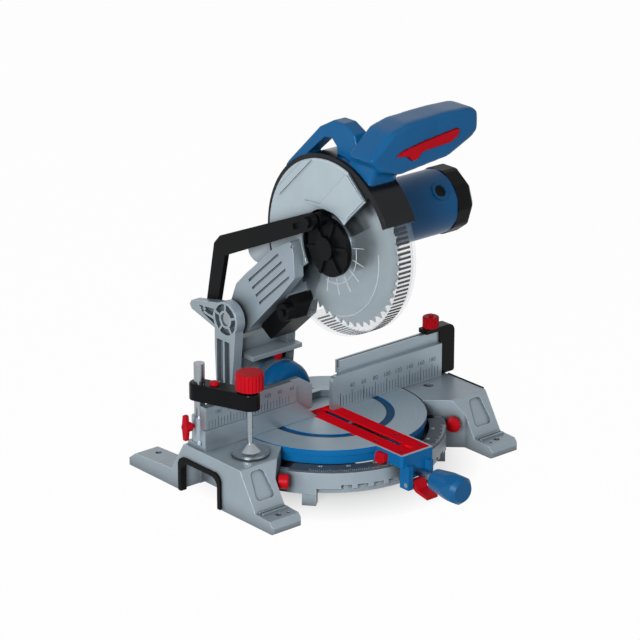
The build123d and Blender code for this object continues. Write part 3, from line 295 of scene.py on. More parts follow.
def lined(tree, body, pattern, strength, line):
    """Colour with the lines of a pattern over it."""
    share = add_node(
        tree,
        "ShaderNodeMapRange",
        {"Value": pattern, "From Min": 0.3, "From Max": 0.7, "To Min": 0.0, "To Max": strength},
    ).outputs["Result"]
    return add_node(tree, "ShaderNodeMix", {0: share, 6: body, 7: line}, data_type="RGBA").outputs[2]


def worn_edges(tree, body, rounding, lighter_colour, share=1.0):
    """Colour made lighter along the edges of a piece: a painted highlight where the edge colour is much lighter, as
    on the castings and the table, and slight rubbed wear where it is barely paler, as on the mouldings.
    """
    edge = add_node(tree, "ShaderNodeBevel", {"Radius": rounding}, samples=4).outputs["Normal"]
    face = add_node(tree, "ShaderNodeNewGeometry").outputs["Normal"]
    dot = add_node(tree, "ShaderNodeVectorMath", {0: edge, 1: face}, operation="DOT_PRODUCT").outputs["Value"]
    mask = add_node(
        tree,
        "ShaderNodeMapRange",
        {"Value": dot, "From Min": 0.99, "From Max": 0.86, "To Min": 0.0, "To Max": share},
    ).outputs["Result"]
    return add_node(tree, "ShaderNodeMix", {0: mask, 6: body, 7: lighter_colour}, data_type="RGBA").outputs[2]


def relief(tree, shader, pattern, depth_mm, rounding):
    """Gives a surface the bumps of a pattern and edges that catch light."""
    edge = add_node(tree, "ShaderNodeBevel", {"Radius": rounding}, samples=4).outputs["Normal"]
    bump = add_node(
        tree, "ShaderNodeBump", {"Height": pattern, "Strength": 1.0, "Distance": depth_mm * MM, "Normal": edge}
    )
    tree.links.new(bump.outputs["Normal"], shader.inputs["Normal"])


def grained(tree, shader, pattern, smooth, rough, depth_mm, rounding):
    """Gives a surface a roughness and bumps that follow a pattern."""
    roughness = add_node(
        tree,
        "ShaderNodeMapRange",
        {"Value": pattern, "From Min": 0.3, "From Max": 0.7, "To Min": smooth, "To Max": rough},
    )
    tree.links.new(roughness.outputs["Result"], shader.inputs["Roughness"])
    relief(tree, shader, pattern, depth_mm, rounding)


def cast_lacquer(name, value, grain_mm, metallic, roughness, rounding):
    """Die-cast aluminium under silver lacquer: a fine orange-peel grain, painted highlights along the edges and
    painted shade in the corners.
    """
    material, tree, shader, place = new_material(name)
    # Painted highlight: the lacquer is made 1.9 times lighter along the edges.
    painted_edge_highlight = worn_edges(
        tree, clouded(tree, place, 38, value, 0.86, 1.08), 1.8 * rounding, shade(value, 1.9)
    )
    # Painted shade: the colour falls towards 0.3 of itself where ambient occlusion finds corners and recesses closed
    # in.
    open_air = add_node(tree, "ShaderNodeAmbientOcclusion", {"Distance": 22 * MM}, samples=6).outputs["AO"]
    unshaded_share = add_node(
        tree,
        "ShaderNodeMapRange",
        {"Value": open_air, "From Min": 0.35, "From Max": 0.95, "To Min": 0.0, "To Max": 1.0},
    ).outputs["Result"]
    body = add_node(tree, "ShaderNodeMix", {0: unshaded_share, 6: shade(value, 0.3), 7: painted_edge_highlight}, data_type="RGBA")
    tree.links.new(body.outputs[2], shader.inputs["Base Color"])
    grain = add_node(tree, "ShaderNodeTexNoise", {"Vector": place, "Scale": per_metre(grain_mm), "Detail": 3.0})
    grained(tree, shader, grain.outputs["Fac"], roughness - 0.06, roughness + 0.08, 0.07, rounding)
    shader.inputs["Metallic"].default_value = metallic
    return material


def milled(name, value, line_mm, along, roughness, rounding):
    """Milled, anodised aluminium: fine lines along the cut and a satin reflection."""
    material, tree, shader, place = new_material(name)
    stretch = [per_metre(line_mm)] * 3
    stretch["XYZ".index(along)] = per_metre(60)
    stretched = add_node(tree, "ShaderNodeMapping", {"Vector": place, "Scale": stretch}).outputs["Vector"]
    lines = add_node(tree, "ShaderNodeTexNoise", {"Vector": stretched, "Scale": 1.0, "Detail": 2.0}).outputs["Fac"]
    body = lined(tree, clouded(tree, place, 45, value, 0.9, 1.06), lines, 0.35, shade(value, 0.72))
    tree.links.new(body, shader.inputs["Base Color"])
    grained(tree, shader, lines, roughness - 0.06, roughness + 0.1, 0.02, rounding)
    shader.inputs["Metallic"].default_value = 0.72
    return material


def moulded(name, value, grain_mm, roughness, rounding, depth_mm, gloss):
    """Injection-moulded plastic: a spark-eroded grain, slight flow clouds and edges rubbed a little paler."""
    material, tree, shader, place = new_material(name)
    pale = tuple(c + 0.05 * (1 - c) for c in value)
    body = worn_edges(tree, clouded(tree, place, 32, value, 0.86, 1.12), rounding, pale, 0.3)
    tree.links.new(body, shader.inputs["Base Color"])
    grain = add_node(tree, "ShaderNodeTexNoise", {"Vector": place, "Scale": per_metre(grain_mm), "Detail": 2.0})
    grained(tree, shader, grain.outputs["Fac"], roughness - 0.05, roughness + 0.07, depth_mm, rounding)
    shader.inputs["IOR"].default_value = 1.53
    shader.inputs["Specular IOR Level"].default_value = gloss
    return material


def ground_steel(name, value, ring_mm, centre, roughness, rounding):
    """Ground steel: fine rings about an axis along X, with an even grey sheen."""
    material, tree, shader, place = new_material(name)
    centred = add_node(tree, "ShaderNodeMapping", {"Vector": place, "Location": -centre}).outputs["Vector"]
    scale = per_metre(ring_mm) / WAVE_RINGS
    rings = add_node(
        tree,
        "ShaderNodeTexWave",
        {"Vector": centred, "Scale": scale, "Distortion": 0.2, "Detail": 2.0, "Detail Scale": 2.0},
        wave_type="RINGS",
        rings_direction="X",
    ).outputs["Fac"]
    body = lined(tree, clouded(tree, place, 40, value, 0.88, 1.06), rings, 0.05, shade(value, 0.75))
    tree.links.new(body, shader.inputs["Base Color"])
    grained(tree, shader, rings, roughness - 0.02, roughness + 0.03, 0.0005, rounding)
    shader.inputs["Metallic"].default_value = 0.95
    return material


def plated(name, value, grain_mm, roughness, rounding):
    """Plated or varnished metal: an even bright sheen with faint cloudy patches and a satin grain."""
    material, tree, shader, place = new_material(name)
    tree.links.new(clouded(tree, place, 14, value, 0.88, 1.06), shader.inputs["Base Color"])
    grain = add_node(tree, "ShaderNodeTexNoise", {"Vector": place, "Scale": per_metre(grain_mm), "Detail": 3.0})
    grained(tree, shader, grain.outputs["Fac"], roughness - 0.05, roughness + 0.08, 0.015, rounding)
    shader.inputs["Metallic"].default_value = 1.0
    return material


def clear_polycarbonate(name, value, cover):
    """Clear moulded polycarbonate: a thin see-through wall, glossy, with faint scratches that catch light."""
    material, tree, shader, place = new_material(name)
    # The scratches are drawn wider than real ones, so that they show.
    stretch = [per_metre(size) for size in SCRATCHES]
    stretched = add_node(tree, "ShaderNodeMapping", {"Vector": place, "Scale": stretch}).outputs["Vector"]
    scratches = add_node(
        tree, "ShaderNodeTexNoise", {"Vector": stretched, "Scale": 1.0, "Detail": 4.0}
    ).outputs["Fac"]
    body = add_node(
        tree, "ShaderNodeMix", {0: scratches, 6: shade(value, 0.9), 7: shade(value, 1.05)}, data_type="RGBA"
    )
    tree.links.new(body.outputs[2], shader.inputs["Base Color"])
    roughness = add_node(
        tree,
        "ShaderNodeMapRange",
        {"Value": scratches, "From Min": 0.3, "From Max": 0.7, "To Min": 0.06, "To Max": 0.18},
    )
    tree.links.new(roughness.outputs["Result"], shader.inputs["Roughness"])
    shader.inputs["Alpha"].default_value = cover
    shader.inputs["IOR"].default_value = 1.58
    return material


def kerf_mask(tree, place):
    """1 in the channel under the insert's slot, where shade is painted, 0 elsewhere."""
    low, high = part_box("table_insert")
    split = add_node(tree, "ShaderNodeSeparateXYZ", {"Vector": place})
    mask = 1.0
    for axis, middle, half in (
        ("X", (low.x + high.x) / 2, 9 * MM),
        ("Y", (low.y + high.y) / 2, (high.y - low.y) / 2 - 3 * MM),
        ("Z", low.z - 14 * MM, 15 * MM),
    ):
        inside = add_node(tree, "ShaderNodeMath", {0: split.outputs[axis], 1: middle, 2: half}, operation="COMPARE")
        mask = add_node(tree, "ShaderNodeMath", {0: mask, 1: inside.outputs[0]}, operation="MULTIPLY").outputs[0]
    return mask


def table_masks(tree, place):
    """1 on the milled top, and 1 on the floor of the grooves in it where shade is painted, as two masks."""
    height = add_node(tree, "ShaderNodeSeparateXYZ", {"Vector": place}).outputs["Z"]
    normal = add_node(tree, "ShaderNodeNewGeometry").outputs["Normal"]
    up = add_node(tree, "ShaderNodeSeparateXYZ", {"Vector": normal}).outputs["Z"]
    level = add_node(tree, "ShaderNodeMath", {0: up, 1: 0.95}, operation="GREATER_THAN").outputs[0]
    masks = []
    for low_mm, high_mm in ((-0.3, 0.5), (-5.0, -0.3)):
        middle = TABLE_TOP + (low_mm + high_mm) / 2 * MM
        half = (high_mm - low_mm) / 2 * MM
        band = add_node(tree, "ShaderNodeMath", {0: height, 1: middle, 2: half}, operation="COMPARE").outputs[0]
        masks.append(add_node(tree, "ShaderNodeMath", {0: band, 1: level}, operation="MULTIPLY").outputs[0])
    return masks


def painted_table(name, paint, lighter_colour, rounding):
    """Painted casting with a milled top: turning marks on the milled face, enamel with a soft gloss elsewhere,
    painted highlights on its edges, and painted shade in its grooves and under the insert's slot.
    """
    material, tree, shader, place = new_material(name)
    # The turning marks are drawn further apart than real ones, so that they show.
    rings = add_node(
        tree,
        "ShaderNodeTexWave",
        {"Vector": place, "Scale": per_metre(7.5398) / WAVE_RINGS, "Distortion": 0.6, "Detail": 2.0},
        wave_type="RINGS",
        rings_direction="Z",
    ).outputs["Fac"]
    turned = lined(tree, clouded(tree, place, 50, lighter_colour, 0.9, 1.05), rings, 0.09, shade(lighter_colour, 0.75))
    # Painted highlight: the paint is made 1.7 times lighter along the edges.
    body = worn_edges(tree, clouded(tree, place, 50, paint, 0.85, 1.12), rounding, shade(paint, 1.7))
    top, groove = table_masks(tree, place)
    # Painted shade: nearly black in the channel under the insert's slot, and 0.45 times as dark on the floor of the
    # grooves.
    for mask, layer in (
        (kerf_mask(tree, place), shade(paint, 0.04)), (groove, shade(paint, 0.45)), (top, turned),
    ):
        body = add_node(tree, "ShaderNodeMix", {0: mask, 6: body, 7: layer}, data_type="RGBA").outputs[2]
    tree.links.new(body, shader.inputs["Base Color"])
    for socket, on_paint, on_top in (("Roughness", 0.3, 0.42), ("Metallic", 0.0, 0.6)):
        value = add_node(tree, "ShaderNodeMapRange", {"Value": top, "To Min": on_paint, "To Max": on_top})
        tree.links.new(value.outputs["Result"], shader.inputs[socket])
    grain = add_node(tree, "ShaderNodeTexNoise", {"Vector": place, "Scale": per_metre(0.7), "Detail": 3.0})
    relief(tree, shader, grain.outputs["Fac"], 0.03, rounding)
    shader.inputs["Specular IOR Level"].default_value = 0.08
    return material


def plain_ink(name, value):
    """Screen-printed or filled ink: matt, with slight unevenness."""
    material, tree, shader, place = new_material(name)
    tree.links.new(clouded(tree, place, 3, value, 0.9, 1.08), shader.inputs["Base Color"])
    cloud = add_node(tree, "ShaderNodeTexNoise", {"Vector": place, "Scale": per_metre(3), "Detail": 3.0})
    roughness = add_node(
        tree,
        "ShaderNodeMapRange",
        {"Value": cloud.outputs["Fac"], "From Min": 0.3, "From Max": 0.7, "To Min": 0.5, "To Max": 0.65},
    )
    tree.links.new(roughness.outputs["Result"], shader.inputs["Roughness"])
    return material


# Plastics and rubber: finish, material, colour, grain in millimetres, roughness, share of the edges' rounding,
# depth of the grain in millimetres, and gloss. Here and below, most grains, lines and rings are drawn coarser
# than real ones, so that they show.
MOULDINGS = (
    ("blue", "abs_blue_moulded", "blue", 0.8, 0.3, 1.0, 0.04, 0.14),
    ("red", "abs_red_moulded", "red", 0.8, 0.34, 0.5, 0.04, 0.05),
    # The insert's brighter red is painted light on its flat top.
    ("insert", "abs_red_insert", "insert", 0.8, 0.5, 0.5, 0.04, 0.0),
    ("black", "glass_filled_nylon_black_moulded", "black", 0.7, 0.4, 0.5, 0.07, 0.07),
    ("gloss_black", "abs_black_polished", "black", 1.2, 0.22, 0.5, 0.02, 0.09),
    ("rim", "polycarbonate_smoke_moulded", "rim", 1.0, 0.24, 1.0, 0.02, 0.16),
    ("rubber", "rubber_black_moulded", "rubber", 0.5, 0.55, 0.5, 0.06, 0.08),
    ("graphite", "abs_graphite_moulded", "graphite", 0.6, 0.4, 0.5, 0.05, 0.25),
    ("outlet", "abs_grey_moulded", "outlet", 0.7, 0.4, 0.5, 0.05, 0.3),
)


def make_finishes(colours, sizes):
    """All materials of the saw, by the name of their finish."""
    edge = sizes.edge_round
    small = edge * 0.5
    finishes = {
        "cast": cast_lacquer(
            "cast_aluminium_silver_lacquer", colours.cast, grain_mm=0.9, metallic=0.22, roughness=0.34, rounding=edge
        ),
        "guard": cast_lacquer(
            "pressed_guard_silver_lacquer", colours.guard, grain_mm=0.6, metallic=0.4, roughness=0.34, rounding=edge
        ),
        "machined": milled(
            "milled_anodised_aluminium", colours.machined, line_mm=0.5, along="X", roughness=0.34, rounding=small
        ),
        "table": painted_table("enamelled_casting_milled_top", colours.blue_paint, colours.table, rounding=edge),
        "steel": plated("zinc_plated_steel_turned", colours.steel, grain_mm=0.6, roughness=0.26, rounding=small),
        "copper": plated("copper_winding_varnished", colours.copper, grain_mm=0.8, roughness=0.35, rounding=small),
        "blade": ground_steel(
            "tool_steel_ground", colours.blade, ring_mm=15.0796, centre=BLADE_AXIS, roughness=0.32, rounding=0.1 * MM
        ),
        "clear": clear_polycarbonate("polycarbonate_clear_moulded", colours.clear, cover=sizes.clear_cover),
        "clear_rib": clear_polycarbonate("polycarbonate_clear_ribs", colours.rib, cover=0.55),
        "slot_shade": clear_polycarbonate("polycarbonate_smoke_slots", colours.rim, cover=0.8),
        "print_dark": plain_ink("engraving_filled_dark", colours.print_dark),
        "print_light": plain_ink("printing_pale", colours.print_light),
    }
    for name, material, tint, grain_mm, roughness, share, depth_mm, gloss in MOULDINGS:
        finishes[name] = moulded(
            material, getattr(colours, tint), grain_mm, roughness, share * edge, depth_mm, gloss
        )
    return finishes


NODE_FINISHES = {
    "cast": ["base_casting", "left_base_leg", "right_base_leg", "tilt_column", "head_arm", "gear_case"],
    "guard": ["upper_guard"],
    "machined": ["fence_casting", "left_sliding_fence", "fence_rail", "bevel_scale"],
    "table": ["turntable"],
    "blue": ["motor_housing", "mitre_lock_knob", "main_handle", "carry_handle"],
    "red": [
        "left_lock_knob", "right_lock_knob", "rail_lock_knob", "clamp_arm_screw", "clamp_knob", "clamp_wing_screw",
        "mitre_pointer", "detent_lever", "bevel_pointer", "trigger",
    ],
    "insert": ["table_insert"],
    "black": [
        "guard_link", "guard_hub", "rear_deflector", "brush_caps", "motor_end_cap", "bevel_lock_lever", "link_bolt",
        "insert_screws",
    ],
    "rim": ["guard_rim"],
    "gloss_black": ["stop_bracket", "clamp_arm"],
    "rubber": ["left_grip_trim", "right_grip_trim"],
    "graphite": ["mitre_scale_ring"],
    "steel": [
        "pivot_bolt", "fence_screws", "clamp_post", "clamp_spindle", "lever_pin", "mitre_lock_rod", "bevel_shaft",
        "chop_shaft", "link_pin", "drive_spindle", "blade_flanges", "arbor_bolt",
    ],
    "blade": ["saw_blade"],
    "clear": ["lower_guard"],
    "outlet": ["dust_spout"],
    "copper": ["armature"],
}
FINISHES = {}


def finish(name):
    """A finish that has been made, by its name."""
    if name not in FINISHES:
        raise RuntimeError(f"the finish {name} isn't made yet; the finishes come first")
    return FINISHES[name]


def place_piece(name, mesh, material, body):
    """Puts a finished mesh into the scene, on its body."""
    mesh.name = name
    piece = bpy.data.objects.new(name, mesh)
    bpy.context.collection.objects.link(piece)
    piece.data.materials.clear()
    piece.data.materials.append(material)
    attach(piece, body)
    return piece


def evaluated_mesh(thing):
    """Plain mesh of an object with its modifiers or its curve applied."""
    graph = bpy.context.evaluated_depsgraph_get()
    return bpy.data.meshes.new_from_object(thing.evaluated_get(graph))


def scale_tree():
    """Node tree that repeats one line of a scale along a step and round a turn."""
    name = "scale_lines"
    if name in bpy.data.node_groups:
        return bpy.data.node_groups[name]
    tree = bpy.data.node_groups.new(name, "GeometryNodeTree")
    for label, kind in (
        ("Count", "NodeSocketInt"), ("Step", "NodeSocketVector"), ("Start", "NodeSocketFloat"),
        ("Turn", "NodeSocketFloat"), ("Size", "NodeSocketVector"), ("Offset", "NodeSocketVector"),
        ("Ink", "NodeSocketMaterial"),
    ):
        tree.interface.new_socket(label, in_out="INPUT", socket_type=kind)
    tree.interface.new_socket("Geometry", in_out="OUTPUT", socket_type="NodeSocketGeometry")
    given = add_node(tree, "NodeGroupInput").outputs
    points = add_node(tree, "GeometryNodeMeshLine", {"Count": given["Count"], "Offset": given["Step"]}, mode="OFFSET")
    line = add_node(tree, "GeometryNodeMeshCube", {"Size": given["Size"]})
    moved = add_node(
        tree, "GeometryNodeTransform", {"Geometry": line.outputs["Mesh"], "Translation": given["Offset"]}
    )
    index = add_node(tree, "GeometryNodeInputIndex").outputs["Index"]
    angle = add_node(
        tree, "ShaderNodeMath", {0: index, 1: given["Turn"], 2: given["Start"]}, operation="MULTIPLY_ADD"
    ).outputs[0]
    euler = add_node(tree, "ShaderNodeCombineXYZ", {"Z": angle}).outputs["Vector"]
    rotation = add_node(tree, "FunctionNodeEulerToRotation", {"Euler": euler}).outputs["Rotation"]
    repeated = add_node(
        tree,
        "GeometryNodeInstanceOnPoints",
        {"Points": points.outputs["Mesh"], "Instance": moved.outputs["Geometry"], "Rotation": rotation},
    )
    real = add_node(tree, "GeometryNodeRealizeInstances", {"Geometry": repeated.outputs["Instances"]})
    inked = add_node(
        tree, "GeometryNodeSetMaterial", {"Geometry": real.outputs["Geometry"], "Material": given["Ink"]}
    )
    add_node(tree, "NodeGroupOutput", {"Geometry": inked.outputs["Geometry"]})
    return tree


def lines_mesh(count, size, offset, ink, step=(0, 0, 0), start=0.0, turn=0.0):
    """Plain mesh of a scale's lines, which follow each other along a step or round a turn in degrees."""
    values = {
        "Count": count, "Step": step, "Start": radians(start), "Turn": radians(turn), "Size": size, "Offset": offset,
        "Ink": ink,
    }
    tree = scale_tree()
    holder = bpy.data.objects.new("holder", bpy.data.meshes.new("holder"))
    bpy.context.collection.objects.link(holder)
    modifier = holder.modifiers.new("tree", "NODES")
    modifier.node_group = tree
    for item in tree.interface.items_tree:
        if item.in_out == "INPUT":
            modifier[item.identifier] = values[item.name]
    holder.update_tag()
    mesh = evaluated_mesh(holder)
    bpy.data.objects.remove(holder)
    if not mesh.polygons:
        raise RuntimeError(f"the tree {tree.name} made nothing")
    return mesh


def figure_mesh(text, height, place):
    """Flat raised figure, standing in a plane."""
    curve = bpy.data.curves.new("figure", "FONT")
    curve.body = text
    curve.size = height
    curve.align_x = "CENTER"
    curve.extrude = FIGURE_DEPTH
    curve.resolution_u = 3
    holder = bpy.data.objects.new("figure", curve)
    bpy.context.collection.objects.link(holder)
    mesh = evaluated_mesh(holder)
    bpy.data.objects.remove(holder)
    mesh.transform(place)
    return mesh


def joined(name, meshes):
    """One mesh of several."""
    work = bmesh.new()
    for mesh in meshes:
        work.from_mesh(mesh)
    result = bpy.data.meshes.new(name)
    work.to_mesh(result)
    work.free()
    return result


def axes(origin, along, upwards):
    """Matrix of a plane: its X along, its Y upwards, its Z out of the surface."""
    x = Vector(along).normalized()
    y = Vector(upwards).normalized()
    z = x.cross(y)
    matrix = Matrix((x, y, z)).transposed().to_4x4()
    matrix.translation = Vector(origin)
    return matrix


def sideways(origin=(0, 0, 0)):
    """Matrix of the saw's left side: outlines lie in Y and Z, and prisms rise to the left."""
    return axes(origin, (0, 1, 0), (-1, 0, 0))


def prism(outline, start, end, place):
    """Closed prism of an outline, from start to end along the place's Y."""
    work = bmesh.new()
    near = [work.verts.new((x, start, z)) for x, z in outline]
    far = [work.verts.new((x, end, z)) for x, z in outline]
    work.faces.new(near)
    work.faces.new(far)
    for i in range(len(outline)):
        j = (i + 1) % len(outline)
        work.faces.new((near[i], near[j], far[j], far[i]))
    bmesh.ops.recalc_face_normals(work, faces=work.faces)
    mesh = bpy.data.meshes.new("prism")
    work.to_mesh(mesh)
    work.free()
    mesh.transform(place)
    return mesh


def frustum(low, low_size, high, high_size):
    """Closed block that tapers from a low rectangle to a high one, given by their middles and sizes."""
    work = bmesh.new()
    rings = []
    for (x, y, z), (width, depth) in ((low, low_size), (high, high_size)):
        rings.append([work.verts.new((x + sx * width / 2, y + sy * depth / 2, z)) for sx, sy in CORNERS])
    for ring in rings:
        work.faces.new(ring)
    for i in range(4):
        j = (i + 1) % 4
        work.faces.new((rings[0][i], rings[0][j], rings[1][j], rings[1][i]))
    bmesh.ops.recalc_face_normals(work, faces=work.faces)
    mesh = bpy.data.meshes.new("frustum")
    work.to_mesh(mesh)
    work.free()
    return mesh


def softened(mesh, voxel, rounds):
    """One skin over overlapping closed forms, with their edges rounded."""
    holder = bpy.data.objects.new("skin", mesh)
    bpy.context.collection.objects.link(holder)
    skin = holder.modifiers.new("skin", "REMESH")
    skin.mode = "VOXEL"
    skin.voxel_size = voxel
    skin.use_smooth_shade = True
    smooth = holder.modifiers.new("smooth", "SMOOTH")
    smooth.factor = 0.5
    smooth.iterations = rounds
    result = evaluated_mesh(holder)
    bpy.data.objects.remove(holder)
    return result


def cad_copy(node):
    """Merged copy of a CAD piece's mesh."""
    work = bmesh.new()
    work.from_mesh(frame["nodes"][node].data)
    bmesh.ops.remove_doubles(work, verts=work.verts, dist=1e-6)
    mesh = bpy.data.meshes.new(node)
    work.to_mesh(mesh)
    work.free()
    return mesh


def carved(mesh, tool, operation):
    """Mesh with a tool's form added to it or cut out of it."""
    holders = [bpy.data.objects.new("form", mesh), bpy.data.objects.new("tool", tool)]
    for holder in holders:
        bpy.context.collection.objects.link(holder)
    step = holders[0].modifiers.new("step", "BOOLEAN")
    step.operation = operation
    step.object = holders[1]
    step.solver = "EXACT"
    result = evaluated_mesh(holders[0])
    for holder in holders:
        bpy.data.objects.remove(holder)
    if not result.polygons:
        raise RuntimeError(f"nothing is left of {mesh.name}")
    return result


def grown(outline, by):
    """Outline, given counter-clockwise, with its sides moved outwards."""
    corners = []
    for i, corner in enumerate(outline):
        before = (corner - outline[i - 1]).normalized()
        after = (outline[(i + 1) % len(outline)] - corner).normalized()
        out = Vector((before.y + after.y, -before.x - after.x))
        corners.append(corner + out * by / max(0.5, 1 + before.dot(after)))
    return corners


def handle_place():
    """Frame of the handle: its length along X, rising a little to the right."""
    low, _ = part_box("main_handle")
    c, s = cos(HANDLE_RISE), sin(HANDLE_RISE)
    place = Matrix(((c, 0, -s, 0), (0, 1, 0, 0), (s, 0, c, 0), (0, 0, 0, 1)))
    place.translation = (0, low.y + HANDLE_HALF_DEPTH, HANDLE_HEIGHT)
    return place


class SAW_OT_finishes(bpy.types.Operator):
    """Gives every CAD piece its material"""

    bl_idname = "mitre_saw.finishes"
    bl_label = "Finishes"

    def execute(self, context):
        FINISHES.update(make_finishes(context.scene.saw_colours, context.scene.saw_sizes))
        left = set(frame["nodes"])
        for name, nodes in NODE_FINISHES.items():
            for node in nodes:
                piece = frame["nodes"][node]
                piece.data.materials.clear()
                piece.data.materials.append(FINISHES[name])
                left.discard(node)
        if left:
            raise RuntimeError(f"pieces without a finish: {sorted(left)}")
        return {"FINISHED"}


class SAW_OT_fence_scales(bpy.types.Operator):
    """Lines and figures engraved on the fences"""

    bl_idname = "mitre_saw.fence_scales"
    bl_label = "Fence scales"

    def execute(self, context):
        sizes = context.scene.saw_sizes
        ink = finish("print_dark")
        left_low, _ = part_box("left_sliding_fence")
        right = self.scale(
            sizes, ink, side=1, first=15, last=190, first_figure=40, foot=TABLE_TOP + 2.5 * MM, face=-PRINT_LIFT
        )
        place_piece("right_fence_scale", joined("right_fence", right), ink, "base")
        left = self.scale(
            sizes,
            ink,
            side=-1,
            first=60,
            last=195,
            first_figure=60,
            foot=94.5 * MM,
            face=left_low.y - PRINT_LIFT,
            line_share=0.72,
            lift_share=0.78,
            figure_share=0.85,
        )
        place_piece("left_fence_scale", joined("left_fence", left), ink, "left_fence")
        return {"FINISHED"}

    def scale(
        self, sizes, ink, side, first, last, first_figure, foot, face, line_share=1, lift_share=1, figure_share=1
    ):
        """Lines and figures of one fence, from the first to the last millimetre on its side of the blade."""
        step = sizes.fence_step
        meshes = []
        for size, every in ((sizes.fence_short, step), (sizes.fence_long, FENCE_LONG_EVERY * step)):
            start = -(-first * MM // every) * every
            count = int((last * MM - start) / every + 1e-6) + 1
            height = line_share * size
            line = (sizes.tick_width, sizes.tick_depth, height)
            mesh = lines_mesh(count, line, (0, 0, height / 2), ink, step=(side * every, 0, 0))
            mesh.transform(Matrix.Translation((side * start, face, foot)))
            meshes.append(mesh)
        figure_foot = foot + (sizes.fence_long + FIGURE_GAP) * lift_share
        for value in range(first_figure, last, FIGURE_STEP):
            place = axes((side * value * MM, face, figure_foot), (1, 0, 0), (0, 0, 1))
            meshes.append(figure_mesh(str(value), figure_share * sizes.figure_height, place))
        return meshes


class SAW_OT_mitre_scale(bpy.types.Operator):
    """Degree lines and figures printed on the mitre scale"""

    bl_idname = "mitre_saw.mitre_scale"
    bl_label = "Mitre scale"

    def execute(self, context):
        sizes = context.scene.saw_sizes
        ink = finish("print_light")
        _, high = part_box("mitre_scale_ring")
        radius = high.x / sin(radians(MITRE_RING_HALF))
        top = high.z + PRINT_LIFT
        meshes = []
        for length_mm, every in MITRE_LINES:
            size = length_mm * MM
            mesh = lines_mesh(
                int(2 * MITRE_LINES_HALF / every) + 1,
                (MITRE_LINE_WIDTH_SHARE * sizes.tick_width, size, sizes.tick_depth),
                (0, -radius + MITRE_MARGIN + size / 2, 0),
                ink,
                start=-MITRE_LINES_HALF,
                turn=every,
            )
            mesh.transform(Matrix.Translation((0, 0, top)))
            meshes.append(mesh)
        reach = radius - MITRE_FIGURE_INSET
        for value in MITRE_FIGURES:
            turn = radians(value)
            place = axes(
                (reach * sin(turn), -reach * cos(turn), top), (cos(turn), sin(turn), 0), (-sin(turn), cos(turn), 0)
            )
            meshes.append(figure_mesh(str(abs(value)), sizes.ring_figure_height, place))
        place_piece("mitre_scale_print", joined("mitre_scale_print", meshes), ink, "base")
        return {"FINISHED"}


class SAW_OT_bevel_scale(bpy.types.Operator):
    """Degree lines on the bevel scale"""

    bl_idname = "mitre_saw.bevel_scale"
    bl_label = "Bevel scale"

    def execute(self, context):
        sizes = context.scene.saw_sizes
        ink = finish("print_dark")
        low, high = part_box("bevel_scale")
        radius = high.z - TABLE_TOP
        middle = (low.y + high.y) / 2
        meshes = []
        for length_mm, every in BEVEL_LINES:
            size = length_mm * MM
            mesh = lines_mesh(
                int(2 * BEVEL_LINES_HALF / every) + 1,
                (BEVEL_LINE_WIDTH, sizes.tick_depth, size),
                (0, radius + PRINT_LIFT, size / 2 - BEVEL_LINE_DROP),
                ink,
                start=-BEVEL_LINES_HALF,
                turn=every,
            )
            mesh.transform(axes((0, middle, TABLE_TOP), (1, 0, 0), (0, 0, 1)))
            meshes.append(mesh)
        place_piece("bevel_scale_lines", joined("bevel_scale_lines", meshes), ink, "turntable")
        return {"FINISHED"}


class SAW_OT_guard_ribs(bpy.types.Operator):
    """Moulded ribs and arcs on the clear guard's left wall, tinted light as a painted highlight, and dark bars in its
    rim as painted shade in its slots
    """

    bl_idname = "mitre_saw.guard_ribs"
    bl_label = "Guard ribs"

    def execute(self, context):
        sizes = context.scene.saw_sizes
        # Painted highlight: the ribs and arcs below take the light rib tint.
        clear = finish("clear_rib")
        # Painted shade: the dark finish of the bars in the rim's slots.
        dark = finish("slot_shade")
        low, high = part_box("lower_guard")
        middle = (low.x, BLADE_AXIS.y, BLADE_AXIS.z)
        plane = axes(middle, (0, -1, 0), (0, 0, 1))
        height = sizes.rib_height
        reach = (RIB_OUTER - RIB_INNER) * MM
        ribs = lines_mesh(
            RIB_COUNT,
            (sizes.rib_width, reach, height),
            (0, RIB_INNER * MM + reach / 2, height / 2),
            clear,
            start=RIB_START,
            turn=RIB_TURN,
        )
        ribs.transform(plane)
        meshes = [ribs]
        for radius, start, end in ARCS:
            inner = radius * MM
            outer = inner + sizes.rib_width
            angles = [radians(angle) for angle in range(start, end + 1, ARC_STEP)]
            band = [(outer * cos(a), outer * sin(a)) for a in angles]
            band += [(inner * cos(a), inner * sin(a)) for a in reversed(angles)]
            meshes.append(prism(band, 0.0, height, sideways(middle)))
        place_piece("guard_ribs", joined("guard_ribs", meshes), clear, "lower_guard")
        width = high.x - low.x
        # Painted shade: dark bars stand in the rim's slots, where the inside of the guard lies in shade.
        bars = lines_mesh(
            SLOT_COUNT,
            (sizes.slot_width, SLOT_DEPTH, width - 2 * sizes.slot_margin),
            (0, GUARD_RADIUS, -width / 2),
            dark,
            start=SLOT_START,
            turn=SLOT_TURN,
        )
        bars.transform(plane)
        place_piece("guard_slots", bars, dark, "lower_guard")
        return {"FINISHED"}


